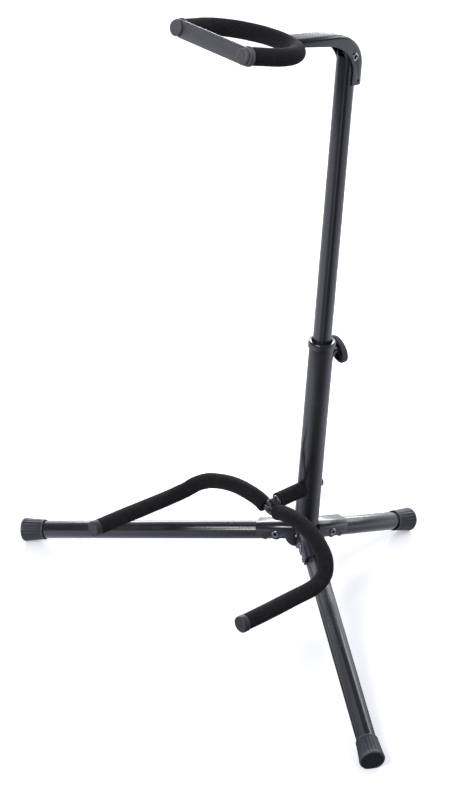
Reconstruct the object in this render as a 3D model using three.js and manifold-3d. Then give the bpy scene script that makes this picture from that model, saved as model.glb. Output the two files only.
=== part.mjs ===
// Folding tripod guitar stand. Millimetres, +Z up, the front of the stand faces -Y.
// The column leans back, so most pieces are built in the column's own frame:
// its origin is the point where the column meets the three legs, z runs up the column
// and -y runs forward, towards the guitar.
import * as THREE from 'three';
import { mergeVertices } from 'three/addons/utils/BufferGeometryUtils.js';
import Module from 'manifold-3d';

const wasm = await Module();
wasm.setup();

// Fits and cutting
const FIT = 0.3;
const OVERRUN = 4;
const FOAM_FIT = 0.8;
const ROUND_SIDES = 24;
const ROD_SIDES = 10;
const FOAM_SIDES = 14;
const SMALL_SIDES = 16;
const CORNER_STEPS = 6;

// Stance: every leg droops alike from the hub, and the short rear leg makes the column lean back
const LEAN = 7 * THREE.MathUtils.DEG2RAD;
const DROOP = 13.5 * THREE.MathUtils.DEG2RAD;
const FRONT_TURN = Math.PI / 3;
const FRONT_LEG_REACH = 320;

// Column
const COLUMN_RADIUS = 12.5;
const COLUMN_WALL = 1.5;
const COLUMN_TOP = 212;
const COLUMN_BORE = COLUMN_RADIUS - COLUMN_WALL;

// Collar on the column's mouth
const COLLAR_RADIUS = 13.9;
const COLLAR_TOP = 216;
const COLLAR_BORE = 10.4;
const COLLAR_SKIRT = 3.2;
const COLLAR_CHAMFER = 0.8;

// Hub core, pressed into the foot of the column
const HUB_CORE_RADIUS = 7.7;
const HUB_CORE_DEPTH = 12;
const HUB_FLANGE_THICKNESS = 1.6;
const HUB_SPIGOT_LENGTH = 18;
const HUB_CHAMFER = 1;

// Leg tubes and their pivots
const LEG_RADIUS = 9.5;
const LEG_WALL = 1.2;
const LEG_PIVOT_REACH = 29.5;
const LEG_NOSE_RADIUS = 5.7;

// Leg brackets: pressed channels with round shoulders over the leg tubes,
// measured along and below the leg's axis
const BRACKET_WALL = 1.5;
const BRACKET_CORNER = 6.3;
const BRACKET_END_REACH = 50.5;
const BRACKET_EDGE_DROP = 2.4;
const LOBE_RADIUS = 9.6;
const LOBE_REACH = 9.7;
const LOBE_DROP = 4;
const PIVOT_EAR_RADIUS = 6.2;
const CATCH_EAR_RADIUS = 3.2;
const CATCH_EAR_REACH = 41.5;
const CATCH_EAR_DROP = 2.8;
const CATCH_DIMPLE_RADIUS = 1;
const BRACKET_INNER = LEG_RADIUS + FIT;
const BRACKET_OUTER = BRACKET_INNER + BRACKET_WALL;
const BRACKET_START = HUB_CORE_RADIUS + FIT;

// The hub's flange rests on the brackets, and the column stands on the flange
const HUB_FLANGE_BOTTOM = BRACKET_OUTER * Math.cos(DROOP) - BRACKET_START * Math.sin(DROOP) + FIT;
const COLUMN_BOTTOM = HUB_FLANGE_BOTTOM + HUB_FLANGE_THICKNESS + FIT;

// Hollow rivets, the same for the legs and the neck holder
const RIVET_RADIUS = 3;
const RIVET_BORE = 1.9;
const RIVET_HEAD_RADIUS = 4.1;
const RIVET_HEAD_THICKNESS = 0.9;
const RIVET_MOUTH = 0.6;

// Rubber feet
const FOOT_RADIUS = 12.5;
const FOOT_MOUTH_RADIUS = 10.8;
const FOOT_LENGTH = 25;
const FOOT_FLOOR = 4;
const FOOT_FLAT = 1.5;
const FOOT_ROUND = 1.2;

// Body yoke, carried on a bolt through the column that dips a little towards the front
const YOKE_BOLT_HEIGHT = 50.8;
const YOKE_BOLT_DIP = 4 * THREE.MathUtils.DEG2RAD;
const BOLT_RADIUS = 3;
const BOLT_HEAD_RADIUS = 4.2;
const BOLT_HEAD_THICKNESS = 1.8;
const BOLT_HEAD_ROUND = 0.6;
const BOLT_SOCKET_RADIUS = 2.2;
const BOLT_SOCKET_DEPTH = 1.1;
const NUT_ACROSS_FLATS = 9.6;
const NUT_THICKNESS = 2.4;
const NUT_DOME_RADIUS = 4.2;
const SPACER_RADIUS = 5;
const SPACER_END_REACH = 44.5;
const SPACER_FOAM_RADIUS = 8;
const SPACER_FOAM_INSET = 1;
const WASHER_RADIUS = 5.9;
const WASHER_THICKNESS = 1.2;
const LOCK_NUT_THICKNESS = 3.6;
const EYE_THICKNESS = 4;
const EYE_RADIUS = 5.4;
const EYE_NECK_WIDTH = 7;
const EYE_NECK_LENGTH = 9.7;
const ROD_RADIUS = 4;
const YOKE_HALF_WIDTH = 113;
const YOKE_REACH = 134.6;
const YOKE_DROP = 41.4;
const YOKE_FOAM_START = 9.2;
const FOAM_RADIUS = 8.1;
const TIP_RADIUS = 8.4;
const TIP_LENGTH = 7;
const TIP_LIP = 1.6;
const TIP_ROUND = 1.2;
const LOCK_NUT_START = SPACER_END_REACH + WASHER_THICKNESS + 2 * FIT;
const EYE_CENTRE = LOCK_NUT_START + LOCK_NUT_THICKNESS + FIT + EYE_THICKNESS / 2;

// Yoke arm: shares of its half width, its drop below the bolt's middle and its reach in front of the eye
const YOKE_ARM_SHARES = [
  [0, 0.32, 0],
  [0.075, 0.25, 0.002],
  [0.16, 0.172, 0.006],
  [0.296, 0.115, 0.019],
  [0.453, 0.112, 0.031],
  [0.61, 0.185, 0.051],
  [0.752, 0.305, 0.08],
  [0.863, 0.49, 0.114],
  [0.936, 0.7, 0.176],
  [0.976, 0.823, 0.289],
  [0.989, 0.894, 0.531],
  [0.998, 0.948, 0.774],
  [1, 1, 1],
];

// Clamp at the back of the column
const CLAMP_DROP = 12;
const CLAMP_HEIGHT = COLUMN_TOP - CLAMP_DROP;
const CLAMP_BOSS_RADIUS = 6.4;
const CLAMP_BOSS_REACH = 17;
const CLAMP_SCREW_RADIUS = 2.8;
const KNOB_HALF_LENGTH = 15.2;
const KNOB_HALF_WIDTH = 8.5;
const KNOB_TURN = 42 * THREE.MathUtils.DEG2RAD;
const KNOB_BACK_REACH = 20.4;
const KNOB_THICKNESS = 8;
const KNOB_ROUND = 1.4;
const KNOB_ROUND_STEPS = 2;
const KNOB_SIDES = 36;
const KNOB_WALL = 2.4;
const KNOB_HOLLOW_DEPTH = 4.8;
const KNOB_BOSS_RADIUS = 4.4;
const KNOB_SCREW_DEPTH = 5.6;
const KNOB_RIB_WIDTH = 1.4;

// Upper tube and the glide that it turns in
const POST_RADIUS = 9.5;
const POST_WALL = 1.2;
const POST_NOSE_RADIUS = 8;
const POST_BOTTOM = 146;
const GLIDE_RADIUS = COLUMN_BORE - FIT;
const GLIDE_HEIGHT = 14;
const GLIDE_FLOOR = 2;

// Neck holder: a channel bracket that folds on a rivet at the head of the upper tube
const NECK_PIVOT_HEIGHT = 515.3;
const NECK_WALL = 1.5;
const NECK_INNER = POST_RADIUS + FIT;
const NECK_OUTER = NECK_INNER + NECK_WALL;
const NECK_BACK = 12.8;
const NECK_TAIL_DROP = 29;
const NECK_TAIL_STRAIGHT_DROP = 10;
const NECK_SHOULDER_REACH = 24;
const NECK_SHOULDER_RISE = 25;
const NECK_PITCH = 9.5 * THREE.MathUtils.DEG2RAD;
const NECK_CHEEK_FRONT = 0.4;
const NECK_CHEEK_ELBOW_REACH = 29.4;
const NECK_CHEEK_ELBOW_RISE = 15;
const NECK_CHEEK_END_DEPTH = 7;
const NECK_BEND_RISE_SHARE = 0.22;
const NECK_BEND_SWING_SHARE = 1;
const NECK_CHEEK_REACH_SHARE = 0.5;
const NECK_CHEEK_RISE_SHARE = 0.72;
const NECK_HOLE_RADIUS = 1.2;
const NECK_HOLE_DROP = 24.5;
const NECK_HOLE_BACK = 6.4;

// Neck yoke: a rod bent to a U whose arms lean in towards the strap and straighten at their tips.
// Its tang sits in the mouth of the bracket.
const NECK_APEX_REACH = 85.5;
const NECK_APEX_RISE = 27;
const NECK_BEND_RADIUS = 50;
const NECK_TOE = 10 * THREE.MathUtils.DEG2RAD;
const NECK_ARM_SLOPE = 18.9;
const NECK_EASE_RADIUS = 24;
const NECK_ARM_TIP = 4.6;
const TANG_WIDTH = 14;
const TANG_THICKNESS = 4.4;
const TANG_GRIP = 14;
const NECK_FOAM_RADIUS = 8.4;
const NECK_SEAM_GAP = 0.4;
const FLANGE_RADIUS = 9.3;
const FLANGE_THICKNESS = 2.4;
const FLANGE_ROUND = 0.6;

// Safety strap across the mouth of the neck yoke
const STRAP_HEIGHT = 16.4;
const STRAP_END = 8.2;
const STRAP_CORNER = 7.4;
const STRAP_THICKNESS = 3;
const STRAP_HOLE_RADIUS = 3.4;
const STRAP_SLOT_WIDTH = 7.6;
const BUTTON_RADIUS = 7.6;
const BUTTON_THICKNESS = 3.4;
const BUTTON_ROUND = 0.9;
const BUTTON_STEM_RADIUS = 3;

// Materials, one per mesh
const FINISHES = {
  paint: { color: 0x2f3136, roughness: 0.36, metalness: 0.55 },
  bright: { color: 0x9a9ca0, roughness: 0.3, metalness: 0.9 },
  plastic: { color: 0x26272a, roughness: 0.55, metalness: 0 },
  cap: { color: 0x55565a, roughness: 0.6, metalness: 0 },
  foam: { color: 0x17171a, roughness: 0.95, metalness: 0 },
  rubber: { color: 0x2b2c30, roughness: 0.8, metalness: 0 },
};

// Solids

function unindexed(geometry) {
  return geometry.index ? geometry.toNonIndexed() : geometry.clone();
}

function toSolid(geometry) {
  const plain = unindexed(geometry);
  plain.deleteAttribute('normal');
  plain.deleteAttribute('uv');
  const merged = mergeVertices(plain);
  const mesh = new wasm.Mesh({
    numProp: 3,
    vertProperties: new Float32Array(merged.attributes.position.array),
    triVerts: new Uint32Array(merged.index.array),
  });
  return new wasm.Manifold(mesh);
}

function toGeometry(solid) {
  const mesh = solid.getMesh();
  const geometry = new THREE.BufferGeometry();
  geometry.setAttribute('position', new THREE.BufferAttribute(new Float32Array(mesh.vertProperties), 3));
  geometry.setIndex(new THREE.BufferAttribute(new Uint32Array(mesh.triVerts), 1));
  const faceted = geometry.toNonIndexed();
  faceted.computeVertexNormals();
  return faceted;
}

function cut(base, ...tools) {
  let solid = toSolid(base);
  for (const tool of tools) {
    solid = solid.subtract(toSolid(tool));
  }
  return toGeometry(solid);
}

function join(base, ...others) {
  let solid = toSolid(base);
  for (const other of others) {
    solid = solid.add(toSolid(other));
  }
  return toGeometry(solid);
}

function common(base, other) {
  return toGeometry(toSolid(base).intersect(toSolid(other)));
}

// A turned solid about z from [radius, height] points, on the axis at both ends or closed by the caller
function turned(points, sides = ROUND_SIDES) {
  const profile = points.map(([radius, height]) => new THREE.Vector2(radius, height));
  const geometry = new THREE.LatheGeometry(profile, sides);
  geometry.rotateX(Math.PI / 2);
  const solid = toSolid(geometry);
  return solid.volume() > 0 ? toGeometry(solid) : flipped(geometry);
}

function flipped(geometry) {
  const plain = unindexed(geometry);
  const position = plain.attributes.position;
  const corner = new THREE.Vector3();
  const other = new THREE.Vector3();
  for (let first = 0; first < position.count; first += 3) {
    corner.fromBufferAttribute(position, first);
    other.fromBufferAttribute(position, first + 1);
    position.setXYZ(first, other.x, other.y, other.z);
    position.setXYZ(first + 1, corner.x, corner.y, corner.z);
  }
  return toGeometry(toSolid(plain));
}

function rod(radius, low, high, sides = ROUND_SIDES) {
  return turned([[0, low], [radius, low], [radius, high], [0, high]], sides);
}

function ring(outer, inner, low, high, sides = ROUND_SIDES) {
  return turned([[inner, low], [outer, low], [outer, high], [inner, high], [inner, low]], sides);
}

function slab(width, depth, height) {
  return new THREE.BoxGeometry(width, depth, height);
}

// Lays a solid built about z on its side: along x, or along y
function alongX(geometry) {
  return geometry.rotateY(Math.PI / 2);
}

function alongY(geometry) {
  return geometry.rotateX(-Math.PI / 2);
}

function circleShape(radius, sides, holeRadius, holeSides) {
  const shape = new THREE.Shape(circlePoints(radius, sides));
  if (holeRadius) {
    shape.holes.push(new THREE.Path(circlePoints(holeRadius, holeSides)));
  }
  return shape;
}

function circlePoints(radius, sides) {
  const points = [];
  for (let side = 0; side < sides; side += 1) {
    const turn = (2 * Math.PI * side) / sides;
    points.push(new THREE.Vector2(radius * Math.cos(turn), radius * Math.sin(turn)));
  }
  return points;
}

function swept(shape, path, steps) {
  return toGeometry(toSolid(new THREE.ExtrudeGeometry(shape, { steps, extrudePath: path, bevelEnabled: false })));
}

// A plate from an outline in x and y, centred on z = 0
function plate(shape, thickness, curveSegments = 2 * CORNER_STEPS) {
  const geometry = new THREE.ExtrudeGeometry(shape, { depth: thickness, bevelEnabled: false, curveSegments });
  return geometry.translate(0, 0, -thickness / 2);
}

// Paths

// A share of another curve's length
class Stretch extends THREE.Curve {
  constructor(curve, start, end) {
    super();
    this.curve = curve;
    this.start = start;
    this.end = end;
  }

  getPoint(t, target = new THREE.Vector3()) {
    return this.curve.getPointAt(this.start + (this.end - this.start) * t, target);
  }
}

// The neck yoke's U in the xz plane: its apex at the origin, its arms along +z and leaning in by
// the toe. Each point is worked out on the right side, as x and z, by its length from the apex.
class NeckBend extends THREE.Curve {
  constructor() {
    super();
    this.bend = NECK_BEND_RADIUS * (Math.PI / 2 + NECK_TOE);
    this.ease = NECK_EASE_RADIUS * NECK_TOE;
    this.halfLength = this.bend + NECK_ARM_SLOPE + this.ease + NECK_ARM_TIP;
    this.slopeStart = this.bendPoint(this.bend);
    this.easeStart = this.slopePoint(NECK_ARM_SLOPE);
    this.tipStart = this.easePoint(this.ease);
    this.end = new THREE.Vector2(this.tipStart.x, this.tipStart.y + NECK_ARM_TIP);
  }

  bendPoint(along) {
    const turn = along / NECK_BEND_RADIUS;
    return new THREE.Vector2(Math.sin(turn), 1 - Math.cos(turn)).multiplyScalar(NECK_BEND_RADIUS);
  }

  slopePoint(along) {
    const inward = -along * Math.sin(NECK_TOE);
    return new THREE.Vector2(inward, along * Math.cos(NECK_TOE)).add(this.slopeStart);
  }

  easePoint(along) {
    const left = NECK_TOE - along / NECK_EASE_RADIUS;
    const inward = Math.cos(NECK_TOE) - Math.cos(left);
    const forward = Math.sin(NECK_TOE) - Math.sin(left);
    return new THREE.Vector2(inward, forward).multiplyScalar(NECK_EASE_RADIUS).add(this.easeStart);
  }

  sidePoint(along) {
    if (along <= this.bend) {
      return this.bendPoint(along);
    }
    const pastBend = along - this.bend;
    if (pastBend <= NECK_ARM_SLOPE) {
      return this.slopePoint(pastBend);
    }
    const pastSlope = pastBend - NECK_ARM_SLOPE;
    if (pastSlope <= this.ease) {
      return this.easePoint(pastSlope);
    }
    return new THREE.Vector2(this.tipStart.x, this.tipStart.y + pastSlope - this.ease);
  }

  getPoint(t, target = new THREE.Vector3()) {
    const along = (2 * t - 1) * this.halfLength;
    const point = this.sidePoint(Math.abs(along));
    return target.set(along < 0 ? -point.x : point.x, 0, point.y);
  }

  shareAt(along) {
    return along / (2 * this.halfLength);
  }
}

// Placing

const part = new THREE.Group();
const stand = new THREE.Group();
const column = new THREE.Group();
column.rotation.x = -LEAN;
stand.add(column);
part.add(stand);

function addPiece(parent, name, geometry, finish) {
  const mesh = new THREE.Mesh(geometry, new THREE.MeshStandardMaterial(FINISHES[finish]));
  mesh.name = name;
  parent.add(mesh);
  return mesh;
}

function addGroup(parent, x, y, z) {
  const group = new THREE.Group();
  group.position.set(x, y, z);
  parent.add(group);
  return group;
}

// Column and hub

function hubCore() {
  const flangeTop = HUB_FLANGE_BOTTOM + HUB_FLANGE_THICKNESS;
  const spigot = COLUMN_BORE - FIT;
  return turned([
    [0, -HUB_CORE_DEPTH],
    [HUB_CORE_RADIUS - HUB_CHAMFER, -HUB_CORE_DEPTH],
    [HUB_CORE_RADIUS, -HUB_CORE_DEPTH + HUB_CHAMFER],
    [HUB_CORE_RADIUS, HUB_FLANGE_BOTTOM],
    [COLUMN_RADIUS, HUB_FLANGE_BOTTOM],
    [COLUMN_RADIUS, flangeTop],
    [spigot, flangeTop],
    [spigot, flangeTop + HUB_SPIGOT_LENGTH - HUB_CHAMFER],
    [spigot - HUB_CHAMFER, flangeTop + HUB_SPIGOT_LENGTH],
    [0, flangeTop + HUB_SPIGOT_LENGTH],
  ]);
}

function lowerTube() {
  const tube = ring(COLUMN_RADIUS, COLUMN_BORE, COLUMN_BOTTOM, COLUMN_TOP);
  const through = COLUMN_RADIUS + OVERRUN;
  const boltHole = alongY(rod(BOLT_RADIUS + FIT, -through, through, SMALL_SIDES));
  boltHole.rotateX(YOKE_BOLT_DIP).translate(0, 0, YOKE_BOLT_HEIGHT);
  const screwHole = alongY(rod(CLAMP_SCREW_RADIUS + FIT, 0, through, SMALL_SIDES));
  screwHole.translate(0, 0, CLAMP_HEIGHT);
  return cut(tube, boltHole, screwHole);
}

function collar() {
  return turned([
    [COLLAR_BORE, COLUMN_TOP + FIT],
    [COLUMN_RADIUS + FIT, COLUMN_TOP + FIT],
    [COLUMN_RADIUS + FIT, COLUMN_TOP - COLLAR_SKIRT],
    [COLLAR_RADIUS, COLUMN_TOP - COLLAR_SKIRT],
    [COLLAR_RADIUS, COLLAR_TOP - COLLAR_CHAMFER],
    [COLLAR_RADIUS - COLLAR_CHAMFER, COLLAR_TOP],
    [COLLAR_BORE + COLLAR_CHAMFER, COLLAR_TOP],
    [COLLAR_BORE, COLLAR_TOP - COLLAR_CHAMFER],
    [COLLAR_BORE, COLUMN_TOP + FIT],
  ]);
}

addPiece(column, 'leg_hub', hubCore(), 'paint');
addPiece(column, 'lower_tube', lowerTube(), 'paint');
addPiece(column, 'column_collar', collar(), 'paint');

// Legs

function legBracket() {
  const half = BRACKET_OUTER;
  const floor = -LOBE_RADIUS - LOBE_DROP - OVERRUN;
  const corner = half - BRACKET_CORNER;
  const innerCorner = BRACKET_CORNER - BRACKET_WALL;
  const section = new THREE.Shape();
  section.moveTo(half, floor);
  section.absarc(corner, corner, BRACKET_CORNER, 0, Math.PI / 2, false);
  section.absarc(-corner, corner, BRACKET_CORNER, Math.PI / 2, Math.PI, false);
  section.lineTo(-half, floor);
  section.lineTo(-BRACKET_INNER, floor);
  section.absarc(-corner, corner, innerCorner, Math.PI, Math.PI / 2, true);
  section.absarc(corner, corner, innerCorner, Math.PI / 2, 0, true);
  section.lineTo(BRACKET_INNER, floor);
  section.closePath();
  const length = BRACKET_END_REACH - BRACKET_START;
  const channel = plate(section, length, CORNER_STEPS);
  channel.rotateX(Math.PI / 2).rotateZ(Math.PI / 2);
  channel.translate(BRACKET_START + length / 2, 0, 0);

  const spine = slab(length, 2 * half + OVERRUN, half + BRACKET_EDGE_DROP + OVERRUN);
  spine.translate(BRACKET_START + length / 2, 0, (half + OVERRUN - BRACKET_EDGE_DROP) / 2);
  const across = half + OVERRUN;
  const lobe = alongY(rod(LOBE_RADIUS, -across, across));
  lobe.translate(LOBE_REACH, 0, -LOBE_DROP);
  const lobeTrim = slab(LOBE_RADIUS + LOBE_REACH, 2 * across + OVERRUN, 2 * half + 2 * LOBE_RADIUS);
  lobeTrim.translate(BRACKET_START - (LOBE_RADIUS + LOBE_REACH) / 2, 0, 0);
  const pivotEar = alongY(rod(PIVOT_EAR_RADIUS, -across, across));
  pivotEar.translate(LEG_PIVOT_REACH, 0, 0);
  const catchEar = alongY(rod(CATCH_EAR_RADIUS, -across, across, SMALL_SIDES));
  catchEar.translate(CATCH_EAR_REACH, 0, -CATCH_EAR_DROP);
  const web = slab(LEG_PIVOT_REACH - LOBE_REACH, 2 * across, 2 * BRACKET_EDGE_DROP);
  web.translate((LEG_PIVOT_REACH + LOBE_REACH) / 2, 0, -BRACKET_EDGE_DROP);
  const outline = cut(join(spine, lobe, pivotEar, catchEar, web), lobeTrim);

  const rivetHole = alongY(rod(RIVET_RADIUS + FIT, -across, across, SMALL_SIDES));
  rivetHole.translate(LEG_PIVOT_REACH, 0, 0);
  const catchHole = alongY(rod(CATCH_DIMPLE_RADIUS, -across, across, SMALL_SIDES));
  catchHole.translate(CATCH_EAR_REACH, 0, -CATCH_EAR_DROP);
  let bracket = toSolid(cut(common(channel, outline), rivetHole, catchHole));
  for (const side of [1, -1]) {
    const edge = new THREE.Vector3(Math.sin(FRONT_TURN), -side * Math.cos(FRONT_TURN), 0);
    edge.applyAxisAngle(new THREE.Vector3(0, 1, 0), -DROOP);
    bracket = bracket.trimByPlane(edge.toArray(), FIT / 2);
  }
  return toGeometry(bracket);
}

// A hollow rivet about y whose heads lie on faces at plus and minus the given half width
function hollowRivet(halfWidth) {
  const face = halfWidth + FIT;
  const end = face + RIVET_HEAD_THICKNESS;
  return alongY(turned([
    [RIVET_BORE, -end],
    [RIVET_BORE + RIVET_MOUTH, -end],
    [RIVET_HEAD_RADIUS, -end + RIVET_MOUTH],
    [RIVET_HEAD_RADIUS, -face],
    [RIVET_RADIUS, -face],
    [RIVET_RADIUS, face],
    [RIVET_HEAD_RADIUS, face],
    [RIVET_HEAD_RADIUS, end - RIVET_MOUTH],
    [RIVET_BORE + RIVET_MOUTH, end],
    [RIVET_BORE, end],
    [RIVET_BORE, -end],
  ], SMALL_SIDES));
}

// A tube whose end at the rivet is rounded about the rivet's axis, so that it can fold in its bracket
function hingedTube(radius, wall, length, noseRadius) {
  const tube = alongX(ring(radius, radius - wall, -radius, length));
  const span = length + radius;
  const block = slab(span, 2 * radius + OVERRUN, 2 * radius + OVERRUN);
  block.translate(span / 2, 0, 0);
  const nose = alongY(rod(noseRadius, -radius - OVERRUN, radius + OVERRUN, ROUND_SIDES));
  const hole = alongY(rod(RIVET_RADIUS + FIT, -radius - OVERRUN, radius + OVERRUN, SMALL_SIDES));
  return cut(common(tube, join(block, nose)), hole);
}

function foot(endReach, floorNormal, floorLevel) {
  const start = endReach - FOOT_LENGTH;
  const bore = LEG_RADIUS + FIT;
  const boot = alongX(turned([
    [bore, start],
    [FOOT_MOUTH_RADIUS, start],
    [FOOT_RADIUS, endReach - FOOT_ROUND],
    [FOOT_RADIUS - FOOT_ROUND, endReach],
    [0, endReach],
    [0, endReach - FOOT_FLOOR],
    [bore, endReach - FOOT_FLOOR],
    [bore, start],
  ]));
  const solid = toSolid(boot).trimByPlane(floorNormal.toArray(), floorLevel);
  return toGeometry(solid);
}

function legDirection(turn) {
  const direction = new THREE.Vector3(Math.sin(turn), -Math.cos(turn), -Math.tan(DROOP));
  return direction.normalize().applyAxisAngle(new THREE.Vector3(1, 0, 0), -LEAN);
}

// How high the middle of a foot's end stands when the foot is flattened on the floor
function footEndHeight(direction) {
  return FOOT_RADIUS * Math.sqrt(1 - direction.z ** 2) - FOOT_FLAT;
}

const frontDirection = legDirection(FRONT_TURN);
const rearDirection = legDirection(Math.PI);
const HUB_HEIGHT = footEndHeight(frontDirection) - FRONT_LEG_REACH * frontDirection.z;
const REAR_LEG_REACH = (footEndHeight(rearDirection) - HUB_HEIGHT) / rearDirection.z;
stand.position.z = HUB_HEIGHT;

function addLeg(name, turn, reach) {
  const arm = addGroup(column, 0, 0, 0);
  arm.rotation.set(0, DROOP, turn - Math.PI / 2, 'ZYX');
  addPiece(arm, `leg_bracket_${name}`, legBracket(), 'paint');
  const pivot = addGroup(arm, LEG_PIVOT_REACH, 0, 0);
  addPiece(pivot, `leg_rivet_${name}`, hollowRivet(BRACKET_OUTER), 'bright');
  const length = reach - LEG_PIVOT_REACH;
  const tube = hingedTube(LEG_RADIUS, LEG_WALL, length - FOOT_FLOOR - FIT, LEG_NOSE_RADIUS);
  addPiece(pivot, `leg_tube_${name}`, tube, 'paint');

  part.updateMatrixWorld(true);
  const floorNormal = new THREE.Vector3(0, 0, 1).transformDirection(pivot.matrixWorld.clone().invert());
  const floorLevel = -pivot.getWorldPosition(new THREE.Vector3()).z;
  addPiece(pivot, `foot_${name}`, foot(length, floorNormal, floorLevel), 'rubber');
}

addLeg('front_left', -FRONT_TURN, FRONT_LEG_REACH);
addLeg('front_right', FRONT_TURN, FRONT_LEG_REACH);
addLeg('rear', Math.PI, REAR_LEG_REACH);

// Yoke mount: here z runs forward along the bolt and y runs up the column

const yokeMount = addGroup(column, 0, 0, YOKE_BOLT_HEIGHT);
yokeMount.rotation.x = Math.PI / 2 + YOKE_BOLT_DIP;

// The column as the pieces on it meet it, standing along y or leaning from it
function columnCutter(clearance, lean = 0) {
  const half = SPACER_FOAM_RADIUS + OVERRUN;
  return alongY(rod(COLUMN_RADIUS + clearance, -half, half)).rotateX(-lean);
}

function yokeBolt() {
  const face = EYE_CENTRE + EYE_THICKNESS / 2 + FIT;
  const end = face + BOLT_HEAD_THICKNESS;
  return turned([
    [0, -COLUMN_RADIUS - NUT_THICKNESS],
    [BOLT_RADIUS, -COLUMN_RADIUS - NUT_THICKNESS],
    [BOLT_RADIUS, face],
    [BOLT_HEAD_RADIUS, face],
    [BOLT_HEAD_RADIUS, end - BOLT_HEAD_ROUND],
    [BOLT_HEAD_RADIUS - BOLT_HEAD_ROUND, end],
    [BOLT_SOCKET_RADIUS, end],
    [BOLT_SOCKET_RADIUS, end - BOLT_SOCKET_DEPTH],
    [0, end - BOLT_SOCKET_DEPTH],
  ], SMALL_SIDES);
}

// Hexagon with a domed back and a blind bore for the bolt
function domeNut() {
  const hexagonRadius = NUT_ACROSS_FLATS / Math.sqrt(3);
  const hexagon = rod(hexagonRadius, 0, NUT_THICKNESS, 6);
  const dome = [[0, 0]];
  const domeSteps = 5;
  for (let step = 0; step <= domeSteps; step += 1) {
    const turn = (step * Math.PI) / (2 * domeSteps);
    dome.push([NUT_DOME_RADIUS * Math.cos(turn), NUT_THICKNESS + (NUT_DOME_RADIUS / 2) * Math.sin(turn)]);
  }
  dome[dome.length - 1][0] = 0;
  const body = join(hexagon, turned(dome, SMALL_SIDES));
  const bore = rod(BOLT_RADIUS + FIT, -OVERRUN, NUT_THICKNESS, SMALL_SIDES);
  const nut = cut(body, bore);
  const seat = COLUMN_RADIUS / Math.cos(YOKE_BOLT_DIP) + hexagonRadius * Math.tan(YOKE_BOLT_DIP) + FIT;
  return nut.rotateX(Math.PI).translate(0, 0, -seat);
}

function spacer() {
  const sleeve = ring(SPACER_RADIUS, BOLT_RADIUS + FIT, 0, SPACER_END_REACH, SMALL_SIDES);
  return cut(sleeve, columnCutter(FIT, YOKE_BOLT_DIP));
}

function spacerFoam() {
  const end = SPACER_END_REACH - SPACER_FOAM_INSET;
  const sleeve = ring(SPACER_FOAM_RADIUS, SPACER_RADIUS + FIT, 0, end, FOAM_SIDES);
  return cut(sleeve, columnCutter(FOAM_FIT, YOKE_BOLT_DIP));
}

function yokeWasher() {
  const start = SPACER_END_REACH + FIT;
  return ring(WASHER_RADIUS, BOLT_RADIUS + FIT, start, start + WASHER_THICKNESS, SMALL_SIDES);
}

function lockNut() {
  const hexagon = rod(NUT_ACROSS_FLATS / Math.sqrt(3), 0, LOCK_NUT_THICKNESS, 6);
  const bore = rod(BOLT_RADIUS + FIT, -OVERRUN, LOCK_NUT_THICKNESS + OVERRUN, SMALL_SIDES);
  return cut(hexagon, bore).translate(0, 0, LOCK_NUT_START);
}

addPiece(yokeMount, 'yoke_bolt', yokeBolt(), 'paint');
addPiece(yokeMount, 'yoke_nut', domeNut(), 'plastic');
addPiece(yokeMount, 'yoke_spacer', spacer(), 'paint');
addPiece(yokeMount, 'spacer_foam', spacerFoam(), 'foam');
addPiece(yokeMount, 'yoke_washer', yokeWasher(), 'bright');
addPiece(yokeMount, 'yoke_lock_nut', lockNut(), 'paint');

// Body yoke: here z runs straight forward from the column, and only the eye dips with the bolt

const yoke = addGroup(yokeMount, 0, 0, 0);
yoke.rotation.x = -YOKE_BOLT_DIP;
const rodMiddle = new THREE.Vector3(0, -EYE_NECK_LENGTH, EYE_CENTRE);
rodMiddle.applyAxisAngle(new THREE.Vector3(1, 0, 0), YOKE_BOLT_DIP);

function armPoint([across, down, forward], side) {
  return new THREE.Vector3(
    side * across * YOKE_HALF_WIDTH,
    -down * YOKE_DROP,
    rodMiddle.z + forward * YOKE_REACH,
  );
}

const rightArm = new THREE.CatmullRomCurve3(YOKE_ARM_SHARES.map((row) => armPoint(row, 1)));
const wholeYoke = new THREE.CatmullRomCurve3([
  ...YOKE_ARM_SHARES.slice(1).reverse().map((row) => armPoint(row, -1)),
  ...YOKE_ARM_SHARES.map((row) => armPoint(row, 1)),
]);

function yokeRod() {
  const rodSteps = 70;
  const bent = swept(circleShape(ROD_RADIUS, ROD_SIDES), wholeYoke, rodSteps);
  const eye = new THREE.Shape();
  const neckHalf = EYE_NECK_WIDTH / 2;
  const neckTurn = Math.asin(neckHalf / EYE_RADIUS);
  eye.absarc(0, 0, EYE_RADIUS, -Math.PI / 2 + neckTurn, (3 * Math.PI) / 2 - neckTurn, false);
  eye.lineTo(-neckHalf, -EYE_NECK_LENGTH);
  eye.lineTo(neckHalf, -EYE_NECK_LENGTH);
  eye.closePath();
  const eyePlate = plate(eye, EYE_THICKNESS, SMALL_SIDES);
  eyePlate.translate(0, 0, EYE_CENTRE);
  const far = EYE_CENTRE + EYE_THICKNESS;
  const boltHole = rod(BOLT_RADIUS + FIT, 0, far, SMALL_SIDES);
  const washerFace = rod(WASHER_RADIUS + FIT, 0, EYE_CENTRE - EYE_THICKNESS / 2, SMALL_SIDES);
  const headFace = rod(BOLT_HEAD_RADIUS + FIT, EYE_CENTRE + EYE_THICKNESS / 2, far, SMALL_SIDES);
  for (const tilted of [eyePlate, boltHole, washerFace, headFace]) {
    tilted.rotateX(YOKE_BOLT_DIP);
  }
  return cut(join(bent, eyePlate), boltHole, washerFace, headFace);
}

function mirroredX(geometry) {
  return flipped(geometry.scale(-1, 1, 1));
}

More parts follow.
